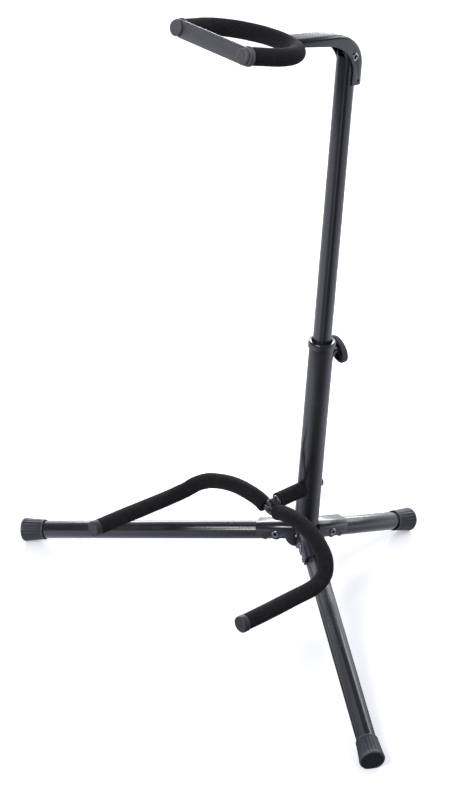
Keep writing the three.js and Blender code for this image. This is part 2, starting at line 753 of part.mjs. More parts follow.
function yokeFoam() {
  const length = rightArm.getLength();
  const stretch = new Stretch(rightArm, YOKE_FOAM_START / length, 1 - (TIP_LIP + FIT) / length);
  const section = circleShape(FOAM_RADIUS, FOAM_SIDES, ROD_RADIUS + FOAM_FIT, ROD_SIDES);
  const foamSteps = 34;
  return swept(section, stretch, foamSteps);
}

// A cap on the rod's end, built along z from the foam's face
function yokeTip() {
  const bore = ROD_RADIUS + FIT;
  return turned([
    [bore, -TIP_LIP],
    [TIP_RADIUS, -TIP_LIP],
    [TIP_RADIUS, TIP_LENGTH - TIP_LIP - TIP_ROUND],
    [TIP_RADIUS - TIP_ROUND, TIP_LENGTH - TIP_LIP],
    [0, TIP_LENGTH - TIP_LIP],
    [0, FIT],
    [bore, FIT],
    [bore, -TIP_LIP],
  ]);
}

addPiece(yoke, 'yoke_rod', yokeRod(), 'paint');
addPiece(yoke, 'yoke_foam_right', yokeFoam(), 'foam');
addPiece(yoke, 'yoke_foam_left', mirroredX(yokeFoam()), 'foam');
for (const [name, side] of [['right', 1], ['left', -1]]) {
  const seat = addGroup(yoke, side * YOKE_HALF_WIDTH, -YOKE_DROP, rodMiddle.z + YOKE_REACH);
  const heading = rightArm.getTangentAt(1).multiply(new THREE.Vector3(side, 1, 1));
  seat.quaternion.setFromUnitVectors(new THREE.Vector3(0, 0, 1), heading);
  addPiece(seat, `yoke_tip_${name}`, yokeTip(), 'cap');
}

// Clamp at the back: here z runs backward, out of the column

const clamp = addGroup(column, 0, 0, CLAMP_HEIGHT);
clamp.rotation.x = -Math.PI / 2;

function clampBoss() {
  const boss = ring(CLAMP_BOSS_RADIUS, CLAMP_SCREW_RADIUS + FIT, 0, CLAMP_BOSS_REACH, SMALL_SIDES);
  return cut(boss, columnCutter(FIT));
}

function clampScrew() {
  return rod(CLAMP_SCREW_RADIUS, POST_RADIUS + FIT, KNOB_BACK_REACH + KNOB_SCREW_DEPTH, SMALL_SIDES);
}

function oval(inset) {
  const points = circlePoints(1, KNOB_SIDES);
  for (const point of points) {
    point.multiply(new THREE.Vector2(KNOB_HALF_LENGTH - inset, KNOB_HALF_WIDTH - inset));
  }
  return new THREE.Shape(points);
}

// An oval cap with a hollow, ribbed back and a boss on the screw, its length along x
function clampKnob() {
  const body = new THREE.ExtrudeGeometry(oval(KNOB_ROUND), {
    depth: KNOB_THICKNESS - KNOB_ROUND,
    bevelThickness: KNOB_ROUND,
    bevelSize: KNOB_ROUND,
    bevelSegments: KNOB_ROUND_STEPS,
  });
  const below = slab(2 * KNOB_HALF_LENGTH + OVERRUN, 2 * KNOB_HALF_WIDTH + OVERRUN, OVERRUN);
  below.translate(0, 0, -OVERRUN / 2);
  const hollow = plate(oval(KNOB_WALL), 2 * KNOB_HOLLOW_DEPTH);
  const boss = rod(KNOB_BOSS_RADIUS, 0, KNOB_THICKNESS - KNOB_ROUND, SMALL_SIDES);
  const rib = slab(2 * KNOB_HALF_LENGTH - KNOB_WALL, KNOB_RIB_WIDTH, KNOB_HOLLOW_DEPTH);
  rib.translate(0, 0, KNOB_HOLLOW_DEPTH / 2 + KNOB_RIB_WIDTH);
  const bore = rod(CLAMP_SCREW_RADIUS + FIT, -OVERRUN, KNOB_SCREW_DEPTH + FIT, SMALL_SIDES);
  return cut(join(cut(body, below, hollow), boss, rib), bore);
}

addPiece(clamp, 'clamp_boss', clampBoss(), 'paint');
addPiece(clamp, 'clamp_screw', clampScrew(), 'bright');
const knobSeat = addGroup(clamp, 0, 0, KNOB_BACK_REACH);
knobSeat.rotation.z = KNOB_TURN;
addPiece(knobSeat, 'clamp_knob', clampKnob(), 'plastic');

// Upper tube

function glide() {
  const sleeve = POST_RADIUS + FIT;
  return turned([
    [0, -GLIDE_FLOOR],
    [GLIDE_RADIUS, -GLIDE_FLOOR],
    [GLIDE_RADIUS, GLIDE_HEIGHT],
    [sleeve, GLIDE_HEIGHT],
    [sleeve, 0],
    [0, 0],
  ]);
}

function upperTube() {
  const length = NECK_PIVOT_HEIGHT - POST_BOTTOM - FIT;
  const tube = hingedTube(POST_RADIUS, POST_WALL, length, POST_NOSE_RADIUS);
  return tube.rotateY(Math.PI / 2).rotateZ(Math.PI / 2);
}

const post = addGroup(column, 0, 0, POST_BOTTOM);
addPiece(post, 'upper_tube_glide', glide(), 'plastic');
const neck = addGroup(post, 0, 0, NECK_PIVOT_HEIGHT - POST_BOTTOM);
addPiece(neck, 'upper_tube', upperTube(), 'paint');
addPiece(neck, 'neck_rivet', hollowRivet(NECK_OUTER).rotateZ(Math.PI / 2), 'bright');

// Neck bracket: its outline is drawn with x forward and y up from the rivet

const apexBack = NECK_FOAM_RADIUS + FOAM_FIT;
const NECK_MOUTH_REACH = NECK_APEX_REACH - apexBack * Math.cos(NECK_PITCH);

// The web's top line ends over the mouth, where it lies just above the tang
function webTop() {
  const rise = NECK_APEX_RISE - apexBack * Math.sin(NECK_PITCH) + TANG_THICKNESS / 2 + FIT;
  return rise + NECK_WALL;
}

// Points of the web's line, moved inward by the given distance
function webLine(inset) {
  const curve = new THREE.CurvePath();
  const tailFoot = new THREE.Vector2(-NECK_BACK, -NECK_TAIL_DROP);
  const tailHead = new THREE.Vector2(-NECK_BACK, -NECK_TAIL_STRAIGHT_DROP);
  const shoulder = new THREE.Vector2(NECK_SHOULDER_REACH, NECK_SHOULDER_RISE);
  const mouth = new THREE.Vector2(NECK_MOUTH_REACH, webTop());
  const slope = (mouth.y - shoulder.y) / (mouth.x - shoulder.x);
  const backSwing = NECK_BEND_SWING_SHARE * NECK_SHOULDER_REACH;
  const bendIn = new THREE.Vector2(-NECK_BACK, NECK_BEND_RISE_SHARE * NECK_SHOULDER_RISE);
  const bendOut = new THREE.Vector2(shoulder.x - backSwing, shoulder.y - slope * backSwing);
  curve.add(new THREE.LineCurve(tailFoot, tailHead));
  curve.add(new THREE.CubicBezierCurve(tailHead, bendIn, bendOut, shoulder));
  curve.add(new THREE.LineCurve(shoulder, mouth));
  const pointsPerCurve = 9;
  const points = curve.getPoints(pointsPerCurve);
  return points.map((point, index) => {
    const before = points[Math.max(index - 1, 0)];
    const after = points[Math.min(index + 1, points.length - 1)];
    const along = new THREE.Vector2().subVectors(after, before).normalize();
    return new THREE.Vector2(point.x + inset * along.y, point.y - inset * along.x);
  });
}

function cheekShape() {
  const shape = new THREE.Shape(webLine(0));
  const end = NECK_MOUTH_REACH;
  shape.lineTo(end, webTop() - NECK_CHEEK_END_DEPTH);
  shape.lineTo(NECK_CHEEK_ELBOW_REACH, NECK_CHEEK_ELBOW_RISE);
  shape.bezierCurveTo(
    NECK_CHEEK_REACH_SHARE * NECK_CHEEK_ELBOW_REACH, NECK_CHEEK_RISE_SHARE * NECK_CHEEK_ELBOW_RISE,
    NECK_CHEEK_FRONT + NECK_WALL, 0,
    NECK_CHEEK_FRONT, -NECK_CHEEK_ELBOW_RISE,
  );
  shape.lineTo(NECK_CHEEK_FRONT, -NECK_TAIL_DROP);
  shape.closePath();
  return shape;
}

function neckBracket() {
  const web = new THREE.Shape([...webLine(0), ...webLine(NECK_WALL).reverse()]);
  const webSolid = plate(web, 2 * NECK_OUTER);
  const cheek = plate(cheekShape(), 2 * NECK_OUTER);
  const hollow = slab(2 * NECK_MOUTH_REACH + OVERRUN, 2 * NECK_MOUTH_REACH, 2 * NECK_INNER);
  hollow.translate(NECK_MOUTH_REACH / 2, 0, 0);
  const rivetHole = rod(RIVET_RADIUS + FIT, -NECK_OUTER - OVERRUN, NECK_OUTER + OVERRUN, SMALL_SIDES);
  const pinHole = rod(NECK_HOLE_RADIUS, -NECK_OUTER - OVERRUN, NECK_OUTER + OVERRUN, SMALL_SIDES);
  pinHole.translate(-NECK_HOLE_BACK, -NECK_HOLE_DROP, 0);
  const bracket = cut(join(cut(cheek, hollow), webSolid), rivetHole, pinHole);
  return bracket.rotateX(Math.PI / 2).rotateZ(-Math.PI / 2);
}

addPiece(neck, 'neck_bracket', neckBracket(), 'paint');

// Neck yoke: here z runs forward along its arms and y runs up, square to them

const neckYoke = addGroup(neck, 0, -NECK_APEX_REACH, NECK_APEX_RISE);
neckYoke.rotation.x = Math.PI / 2 - NECK_PITCH;
const neckBend = new NeckBend();
const NECK_HALF_WIDTH = neckBend.end.x;
const NECK_ARM_END = neckBend.end.y;

function neckRod() {
  const rodSteps = 44;
  const bent = swept(circleShape(ROD_RADIUS, ROD_SIDES), neckBend, rodSteps);
  const tangLength = apexBack + TANG_GRIP;
  const tang = slab(TANG_WIDTH, TANG_THICKNESS, tangLength);
  tang.translate(0, 0, -tangLength / 2);
  return join(bent, tang);
}

// The foam on one side of the U, from the tang to the arm's end
function neckFoam() {
  const section = circleShape(NECK_FOAM_RADIUS, FOAM_SIDES, ROD_RADIUS + FOAM_FIT, ROD_SIDES);
  const start = neckBend.shareAt(neckBend.halfLength + NECK_SEAM_GAP / 2);
  const end = neckBend.shareAt(2 * neckBend.halfLength - FLANGE_THICKNESS);
  const sleeveSteps = 18;
  const sleeve = swept(section, new Stretch(neckBend, start, end), sleeveSteps);
  const slotLength = 2 * NECK_FOAM_RADIUS;
  const slot = slab(TANG_WIDTH + 2 * FOAM_FIT, TANG_THICKNESS + 2 * FOAM_FIT, slotLength);
  slot.translate(0, 0, -slotLength / 2);
  return cut(sleeve, slot);
}

function armFlange() {
  const start = NECK_ARM_END + FIT - FLANGE_THICKNESS;
  const end = NECK_ARM_END + FIT;
  return turned([
    [ROD_RADIUS + FIT, start],
    [FLANGE_RADIUS, start],
    [FLANGE_RADIUS, end - FLANGE_ROUND],
    [FLANGE_RADIUS - FLANGE_ROUND, end],
    [ROD_RADIUS + FIT, end],
    [ROD_RADIUS + FIT, start],
  ]);
}

// A button whose stem passes the strap and ends against the rod
function armButton() {
  const head = NECK_ARM_END + 3 * FIT + STRAP_THICKNESS;
  const end = head + BUTTON_THICKNESS;
  return turned([
    [0, NECK_ARM_END + FIT],
    [BUTTON_STEM_RADIUS, NECK_ARM_END + FIT],
    [BUTTON_STEM_RADIUS, head],
    [BUTTON_RADIUS, head],
    [BUTTON_RADIUS, end - BUTTON_ROUND],
    [BUTTON_RADIUS - BUTTON_ROUND, end],
    [0, end],
  ]);
}

// A bar with a hole for the button that it swings on and a slot, open below, for the other
function neckStrap() {
  const span = 2 * NECK_HALF_WIDTH;
  const half = STRAP_HEIGHT / 2;
  const level = half - STRAP_CORNER;
  const near = STRAP_END - STRAP_CORNER;
  const bar = new THREE.Shape();
  bar.absarc(near, -level, STRAP_CORNER, -Math.PI / 2, 0, false);
  bar.absarc(near, level, STRAP_CORNER, 0, Math.PI / 2, false);
  bar.absarc(-span - near, level, STRAP_CORNER, Math.PI / 2, Math.PI, false);
  bar.absarc(-span - near, -level, STRAP_CORNER, Math.PI, (3 * Math.PI) / 2, false);
  bar.closePath();
  const body = plate(bar, STRAP_THICKNESS, CORNER_STEPS);
  const hole = rod(STRAP_HOLE_RADIUS, -STRAP_THICKNESS, STRAP_THICKNESS, SMALL_SIDES);
  const catchHole = hole.clone().translate(-span, 0, 0);
  const slot = slab(STRAP_SLOT_WIDTH, half + OVERRUN, 2 * STRAP_THICKNESS);
  slot.translate(-span, -(half + OVERRUN) / 2, 0);
  return cut(body, hole, catchHole, slot);
}

addPiece(neckYoke, 'neck_rod', neckRod(), 'paint');
addPiece(neckYoke, 'neck_foam_right', neckFoam(), 'foam');
addPiece(neckYoke, 'neck_foam_left', mirroredX(neckFoam()), 'foam');
for (const [name, side] of [['right', 1], ['left', -1]]) {
  const arm = addGroup(neckYoke, side * NECK_HALF_WIDTH, 0, 0);
  addPiece(arm, `neck_flange_${name}`, armFlange(), 'cap');
  addPiece(arm, `neck_button_${name}`, armButton(), 'plastic');
}
const strapSeat = addGroup(neckYoke, NECK_HALF_WIDTH, 0, NECK_ARM_END + 2 * FIT + STRAP_THICKNESS / 2);
addPiece(strapSeat, 'neck_strap', neckStrap(), 'rubber');

// The origin goes under the middle of the whole stand, on the floor
part.updateMatrixWorld(true);
const reach = new THREE.Box3().setFromObject(part, true);
stand.position.x -= (reach.min.x + reach.max.x) / 2;
stand.position.y -= (reach.min.y + reach.max.y) / 2;
stand.position.z -= reach.min.z;

export default part;
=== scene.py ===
import math

import bpy
from mathutils import Matrix, Vector


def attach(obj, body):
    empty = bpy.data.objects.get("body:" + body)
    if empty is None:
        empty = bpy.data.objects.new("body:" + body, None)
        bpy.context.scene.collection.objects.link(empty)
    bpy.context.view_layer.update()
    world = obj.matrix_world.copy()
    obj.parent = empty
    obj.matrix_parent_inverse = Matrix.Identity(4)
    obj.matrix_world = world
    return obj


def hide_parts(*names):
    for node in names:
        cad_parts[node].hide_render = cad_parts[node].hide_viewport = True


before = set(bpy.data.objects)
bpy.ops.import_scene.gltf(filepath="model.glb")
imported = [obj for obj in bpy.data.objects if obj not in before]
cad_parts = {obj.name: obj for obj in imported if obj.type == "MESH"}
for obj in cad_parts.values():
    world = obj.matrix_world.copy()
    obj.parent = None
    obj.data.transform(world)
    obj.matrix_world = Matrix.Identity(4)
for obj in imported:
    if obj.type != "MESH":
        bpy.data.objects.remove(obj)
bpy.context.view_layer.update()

# Where the stand is seen from: above its right front corner, with a long lens.
# Everything is measured from the hub, the point where the column meets the three legs. Sizes are in
# millimetres all through, apart from the hub's and the camera's place and the studio, in metres.
MM = 0.001
HUB = Vector((0, 0.018028, 0.065998))
VIEW_TURN = math.radians(49.716)
VIEW_RISE = math.radians(30.866)
VIEW_ROLL = math.radians(-1.888)
VIEW_DISTANCE = 2.689344
VIEW_SHIFT = (-0.069419, 0.142697)
SENSOR_HEIGHT = 36
LENS = 118.779
LENS_SHIFT = (-0.0048, -0.00218)

back = Vector((
    math.sin(VIEW_TURN) * math.cos(VIEW_RISE),
    -math.cos(VIEW_TURN) * math.cos(VIEW_RISE),
    math.sin(VIEW_RISE),
))
right = Vector((math.cos(VIEW_TURN), math.sin(VIEW_TURN), 0))
up = right.cross(-back)
rolled_right = right * math.cos(VIEW_ROLL) + up * math.sin(VIEW_ROLL)
rolled_up = up * math.cos(VIEW_ROLL) - right * math.sin(VIEW_ROLL)
seat = HUB + back * VIEW_DISTANCE + right * VIEW_SHIFT[0] + up * VIEW_SHIFT[1]
bpy.ops.object.select_all(action="DESELECT")
bpy.ops.object.camera_add()
camera = bpy.context.object
camera.matrix_world = Matrix((
    (rolled_right.x, rolled_up.x, back.x, seat.x),
    (rolled_right.y, rolled_up.y, back.y, seat.y),
    (rolled_right.z, rolled_up.z, back.z, seat.z),
    (0, 0, 0, 1),
))
camera.data.sensor_fit = "VERTICAL"
camera.data.sensor_height = SENSOR_HEIGHT
camera.data.lens = LENS
camera.data.shift_x, camera.data.shift_y = LENS_SHIFT
bpy.context.scene.camera = camera
bpy.context.scene.view_settings.view_transform = "Standard"


# The studio: a soft box in front, a weak one behind and a low one opposite the lens, over a glossy white
# floor. To the eye floor and wall are white, with a faint bluish shadow round the stand. In the enamel
# they mirror as a white sweep behind and to the left, and as a dark room to the right of the lens.
LAMP_AIM = Vector((0, 0, 0.3))
LAMPS = {  # turn and rise in degrees, distance, width, height, glow
    "front_soft_box": (12, 42, 2.4, 0.9, 0.9, 13),
    "side_soft_box": (172, 30, 3.0, 2.0, 1.0, 3),
    "back_soft_box": (230, 9, 1.2, 1.3, 0.34, 8),
}
PURE_WHITE = (1, 1, 1, 1)
SKY_WHITE = (0.9, 0.91, 1, 1)
MIRROR_WHITE = (0.86, 0.885, 1, 1)
TO_WALL = (-0.66, 0.56, -0.50)
TO_ROOM = (0.883, -0.469, 0)
FLOOR_SIZE = 80
FLOOR_HEIGHT = -0.0002
FLOOR_TONE = (0.80, 0.80, 0.80, 1)
FLOOR_LIFT = (0.95, 0.958, 1, 1)
FLOOR_BOUNCE = (0.32, 0.32, 0.33, 1)
FLOOR_ROUGHNESS = 0.16


def add_node(tree, kind, inputs=None, **settings):
    """A shader node with its settings, its input values and its links."""
    node = tree.nodes.new(kind)
    for name, value in settings.items():
        setattr(node, name, value)
    for name, value in (inputs or {}).items():
        if isinstance(value, bpy.types.NodeSocket):
            tree.links.new(value, node.inputs[name])
        else:
            node.inputs[name].default_value = value
    return node


def graded(tree, value, low, high, start, end):
    """The value's range from low to high, spread from start to end."""
    inputs = {"Value": value, "From Min": low, "From Max": high, "To Min": start, "To Max": end}
    return add_node(tree, "ShaderNodeMapRange", inputs).outputs["Result"]


def calculated(tree, first, second, operation):
    """Two values added, multiplied or compared."""
    return add_node(tree, "ShaderNodeMath", {0: first, 1: second}, operation=operation).outputs[0]


def facing(tree, heading, aim):
    """How far a heading points towards an aim, from -1 to 1."""
    dot = add_node(tree, "ShaderNodeVectorMath", {0: heading, 1: aim}, operation="DOT_PRODUCT")
    return dot.outputs["Value"]


def glowing(tree, kind, colour, strength):
    """A plain glow of the world or of a surface."""
    return add_node(tree, kind, {"Color": colour, "Strength": strength}).outputs[0]


def either(tree, share, first, second):
    """The first surface where the share is 0 and the second where it is 1."""
    return add_node(tree, "ShaderNodeMixShader", {0: share, 1: first, 2: second}).outputs[0]


def soft_box(name, turn, rise, distance, width, height, glow):
    """A lamp that faces the middle of the stand from a turn round it and a rise above the floor."""
    turn, rise = math.radians(turn), math.radians(rise)
    outward = Vector((math.sin(turn) * math.cos(rise), -math.cos(turn) * math.cos(rise), math.sin(rise)))
    lamp = bpy.data.lights.new(name, "AREA")
    lamp.shape = "RECTANGLE"
    lamp.size = width
    lamp.size_y = height
    lamp.energy = glow * math.pi * width * height
    holder = bpy.data.objects.new(name, lamp)
    bpy.context.scene.collection.objects.link(holder)
    turned = outward.to_track_quat("Z", "Y").to_matrix().to_4x4()
    holder.matrix_world = Matrix.Translation(LAMP_AIM + outward * distance) @ turned


for name, values in LAMPS.items():
    soft_box(name, *values)

world = bpy.data.worlds.new("white_studio")
bpy.context.scene.world = world
world.use_nodes = True
sky = world.node_tree
sky.nodes.clear()
rays = add_node(sky, "ShaderNodeLightPath").outputs
seen = calculated(sky, rays["Is Camera Ray"], rays["Is Transmission Ray"], "MAXIMUM")
outward = add_node(sky, "ShaderNodeTexCoord").outputs["Generated"]
height = add_node(sky, "ShaderNodeSeparateXYZ", {"Vector": outward}).outputs["Z"]
lit = glowing(sky, "ShaderNodeBackground", SKY_WHITE, graded(sky, height, 0, 1, 0.08, 0.8))
shown = glowing(sky, "ShaderNodeBackground", PURE_WHITE, 1)
wall = graded(sky, facing(sky, outward, TO_WALL), 0.1, 0.8, 0.13, 1.92)
mirrored = glowing(sky, "ShaderNodeBackground", MIRROR_WHITE, wall)
unseen = either(sky, rays["Is Glossy Ray"], lit, mirrored)
add_node(sky, "ShaderNodeOutputWorld", {"Surface": either(sky, seen, unseen, shown)})

bpy.ops.mesh.primitive_plane_add(size=FLOOR_SIZE, location=(0, 0, FLOOR_HEIGHT))
floor = bpy.context.object
floor.name = "studio_floor"
white_floor = bpy.data.materials.new("glossy_white_floor")
white_floor.use_nodes = True
tree = white_floor.node_tree
face = tree.nodes["Principled BSDF"]
face.inputs["Base Color"].default_value = FLOOR_TONE
face.inputs["Roughness"].default_value = FLOOR_ROUGHNESS
rays = add_node(tree, "ShaderNodeLightPath").outputs
spot = add_node(tree, "ShaderNodeTexCoord").outputs["Object"]
away = add_node(tree, "ShaderNodeVectorMath", {0: spot}, operation="LENGTH").outputs["Value"]
lift = glowing(tree, "ShaderNodeEmission", FLOOR_LIFT, graded(tree, away, 0.4, 1.9, 0.39, 0.86))
shown = add_node(tree, "ShaderNodeAddShader", {0: face.outputs[0], 1: lift}).outputs[0]
heading = add_node(tree, "ShaderNodeVectorMath", {0: spot}, operation="NORMALIZE").outputs["Vector"]
sweep = graded(tree, facing(tree, heading, TO_ROOM), 0.25, 0.97, 1.12, 0.13)
# Painted shadow: as the enamel mirrors it, the floor's glow is darker close to the stand.
shade = graded(tree, away, 0.08, 0.35, 0.45, 1)
mirrored = glowing(tree, "ShaderNodeEmission", MIRROR_WHITE, calculated(tree, sweep, shade, "MULTIPLY"))
plain = add_node(tree, "ShaderNodeBsdfDiffuse", {"Color": FLOOR_BOUNCE}).outputs[0]
unseen = either(tree, rays["Is Glossy Ray"], plain, mirrored)
surface = either(tree, rays["Is Camera Ray"], unseen, shown)
tree.links.new(surface, tree.nodes["Material Output"].inputs["Surface"])
floor.data.materials.append(white_floor)


# Hub: a turned steel core with a flange. Its lower end stands between the legs, its spigot is
# pressed into the foot of the column, and it has the satin black enamel of all the steel parts.
LEAN = math.radians(7)
COLUMN = Matrix.Translation(HUB) @ Matrix.Rotation(-LEAN, 4, "X")
SORTED_FROM = (0.7301, 0.4177, 1.1093)
FLANGE_BOTTOM = 9.42
FLANGE_TOP = 11.02
ENAMEL_DARK = (0.012, 0.0118, 0.0155, 1)
ENAMEL_LIGHT = (0.0185, 0.0185, 0.0235, 1)
ENAMEL_EDGE = (0.09, 0.094, 0.104, 1)
ENAMEL_DUST = (0.05, 0.052, 0.058, 1)


def only(piece):
    """Makes the piece the one selected and active object."""
    bpy.ops.object.select_all(action="DESELECT")
    piece.select_set(True)
    bpy.context.view_layer.objects.active = piece


def new_finish(name):
    """A finish, its node tree, its surface shader and the place on the stand that it reads."""
    finish = bpy.data.materials.new(name)
    finish.use_nodes = True
    tree = finish.node_tree
    place = add_node(tree, "ShaderNodeTexCoord").outputs["Object"]
    return finish, tree, tree.nodes["Principled BSDF"], place


def grain(tree, place, scale, detail, roughness=0.5):
    """Noise of so many grains to the metre."""
    inputs = {"Vector": place, "Scale": scale, "Detail": detail, "Roughness": roughness}
    return add_node(tree, "ShaderNodeTexNoise", inputs).outputs["Fac"]


def patchy(tree, place, scale, detail, start, end, roughness=0.5):
    """Soft patches of noise, from start in the lowest to end in the highest."""
    return graded(tree, grain(tree, place, scale, detail, roughness), 0.3, 0.7, start, end)


def pointed(tree, low, high, start, end):
    """Start to end by how pointed the surface is: grooves under a half, flats at a half, edges over it."""
    corners = add_node(tree, "ShaderNodeNewGeometry").outputs["Pointiness"]
    return graded(tree, corners, low, high, start, end)


def blended(tree, share, first, second):
    """A colour between two, by a share from 0 to 1."""
    return add_node(tree, "ShaderNodeMix", {0: share, 6: first, 7: second}, data_type="RGBA").outputs[2]


def raised(tree, shader, height, depth, strength):
    """Relief on the surface, so deep in millimetres, at a share of its strength."""
    inputs = {"Height": height, "Distance": depth * MM, "Strength": strength}
    tree.links.new(add_node(tree, "ShaderNodeBump", inputs).outputs[0], shader.inputs["Normal"])


def dress(tree, shader, colour, roughness):
    """Gives the surface its colour and its roughness."""
    tree.links.new(colour, shader.inputs["Base Color"])
    tree.links.new(roughness, shader.inputs["Roughness"])


def turn_on_lathe(name, profile, sides=72):
    """A ring drawn up through a profile of [radius, height] rows in millimetres, its ends closed."""
    bpy.ops.object.select_all(action="DESELECT")
    radius, height = profile[0]
    bpy.ops.mesh.primitive_circle_add(vertices=sides, radius=radius * MM)
    piece = bpy.context.object
    piece.name = piece.data.name = name
    bpy.ops.object.mode_set(mode="EDIT")
    bpy.ops.mesh.select_all(action="SELECT")
    bpy.ops.transform.translate(value=(0, 0, height * MM))
    for next_radius, next_height in profile[1:]:
        lift = (0, 0, (next_height - height) * MM)
        bpy.ops.mesh.extrude_region_move(TRANSFORM_OT_translate={"value": lift})
        share = next_radius / radius
        bpy.ops.transform.resize(value=(share, share, 1), center_override=(0, 0, next_height * MM))
        radius, height = next_radius, next_height
    close_up()
    bpy.ops.object.mode_set(mode="OBJECT")
    return piece


def put_in_order():
    """In edit mode: turns the faces outwards and sorts the mesh, so that every run gives the same one.

    It is sorted by the distance from a point that lies on no line of symmetry of any piece.
    """
    bpy.ops.mesh.select_all(action="SELECT")
    bpy.ops.mesh.normals_make_consistent(inside=False)
    bpy.context.scene.cursor.location = SORTED_FROM
    bpy.ops.mesh.sort_elements(type="CURSOR_DISTANCE", elements={"VERT", "EDGE", "FACE"})
    bpy.context.scene.cursor.location = (0, 0, 0)


def close_up():
    """In edit mode: merges doubles, closes open ends and puts the mesh in order."""
    bpy.ops.mesh.select_all(action="SELECT")
    bpy.ops.mesh.remove_doubles(threshold=0.002 * MM)
    bpy.ops.mesh.fill_holes(sides=0)
    put_in_order()


def apply_modifier(piece, kind, **settings):
    """A modifier with its settings, applied."""
    only(piece)
    modifier = piece.modifiers.new(kind.lower(), kind)
    for name, value in settings.items():
        setattr(modifier, name, value)
    bpy.ops.object.modifier_apply(modifier=modifier.name)


def ease_edges(piece, width, segments=2, angle=34):
    """Rounds every edge sharper than the angle, and merges the corners that meet."""
    apply_modifier(
        piece, "BEVEL", width=width * MM, segments=segments, limit_method="ANGLE",
        angle_limit=math.radians(angle), use_clamp_overlap=True, harden_normals=False,
    )
    bpy.ops.object.mode_set(mode="EDIT")
    bpy.ops.mesh.select_all(action="SELECT")
    bpy.ops.mesh.remove_doubles(threshold=0.001 * MM)
    bpy.ops.object.mode_set(mode="OBJECT")


def fit(piece, place, body, finish, node):
    """Puts a finished piece in its place on the stand, in its finish, on the body that carries it."""
    only(piece)
    piece.matrix_world = place
    bpy.ops.object.transform_apply(location=True, rotation=True, scale=True)
    bpy.ops.object.shade_smooth_by_angle(angle=math.radians(32))
    piece.data.materials.clear()
    piece.data.materials.append(finish)
    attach(piece, body)
    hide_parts(node)


enamel, tree, shader, place = new_finish("satin_black_enamel")
shader.inputs["Specular IOR Level"].default_value = 0.8
shader.inputs["Coat Weight"].default_value = 0.3
shader.inputs["Coat Roughness"].default_value = 0.1
coat = blended(tree, patchy(tree, place, 26, 4, 0, 1), ENAMEL_DARK, ENAMEL_LIGHT)
coat = blended(tree, pointed(tree, 0.54, 0.62, 0, 0.5), coat, ENAMEL_EDGE)
dust = graded(tree, grain(tree, place, 900, 2), 0.66, 0.74, 0, 0.35)
dress(tree, shader, blended(tree, dust, coat, ENAMEL_DUST), patchy(tree, place, 70, 5, 0.2, 0.3))
raised(tree, shader, grain(tree, place, 1100, 2), 0.03, 0.5)

hub = turn_on_lathe("hub_core", [
    (6.7, -12), (7.7, -11), (7.7, FLANGE_BOTTOM), (12.5, FLANGE_BOTTOM), (12.5, FLANGE_TOP),
    (10.7, FLANGE_TOP), (10.7, 28), (9.7, 29),
])
ease_edges(hub, 0.3)
fit(hub, COLUMN, "column", enamel, "leg_hub")


# Lower tube: 25 mm welded steel tube, enamelled, set over the hub's spigot.
# The body yoke's bolt goes through it low down, and the clamp's screw enters it near the top.
COLUMN_RADIUS = 12.5
COLUMN_BORE = 11
COLUMN_BOTTOM = 11.32
COLUMN_TOP = 212
YOKE_HEIGHT = 50.8
YOKE_DIP = math.radians(4)
CLAMP_HEIGHT = 200
PIN_HOLE = 3.3
SCREW_HOLE = 3.1
FIT = 0.3
ALONG_Y = Matrix.Rotation(-math.pi / 2, 4, "X")


def along_z(distance):
    """A place so far along z."""
    return Matrix.Translation((0, 0, distance * MM))


def peg(radius, start, end, place, sides=48):
    """A plain round cutter along z, for drilling and trimming."""
    bpy.ops.object.select_all(action="DESELECT")
    bpy.ops.mesh.primitive_cylinder_add(vertices=sides, radius=radius * MM, depth=(end - start) * MM)
    cutter = bpy.context.object
    cutter.matrix_world = place @ along_z((start + end) / 2)
    return cutter


def carve(piece, cutter, way="DIFFERENCE"):
    """Takes a cutter out of a piece, keeps what they share or joins them; the cutter is used up."""
    apply_modifier(piece, "BOOLEAN", object=cutter, operation=way, solver="EXACT")
    bpy.data.objects.remove(cutter)


def drill(piece, place, radius=PIN_HOLE, depth=20, sides=48):
    """Drills a hole through a piece, so deep to both sides of the place."""
    carve(piece, peg(radius, -depth, depth, place, sides))


BOLT_LINE = along_z(YOKE_HEIGHT) @ Matrix.Rotation(math.pi / 2 + YOKE_DIP, 4, "X")
tube = turn_on_lathe("lower_tube_steel", [
    (COLUMN_BORE, COLUMN_BOTTOM), (COLUMN_RADIUS, COLUMN_BOTTOM), (COLUMN_RADIUS, COLUMN_TOP),
    (COLUMN_BORE, COLUMN_TOP), (COLUMN_BORE, COLUMN_BOTTOM),
], 96)
drill(tube, BOLT_LINE)
carve(tube, peg(SCREW_HOLE, 0, 20, along_z(CLAMP_HEIGHT) @ ALONG_Y))
ease_edges(tube, 0.25)
fit(tube, COLUMN, "column", enamel, "lower_tube")


# Collar: a bevelled steel ring pressed over the mouth of the lower tube, enamelled with it.
# The upper tube passes through it with a dark gap all round.
collar = turn_on_lathe("collar_ring", [
    (10.4, 212.3), (12.8, 212.3), (12.8, 208.8), (13.9, 208.8), (13.9, 214.9), (13.5, 215.6),
    (12.9, 216), (11.5, 216), (10.8, 215.6), (10.4, 214.8), (10.4, 212.3),
], 96)
ease_edges(collar, 0.25)
fit(collar, COLUMN, "column", enamel, "column_collar")


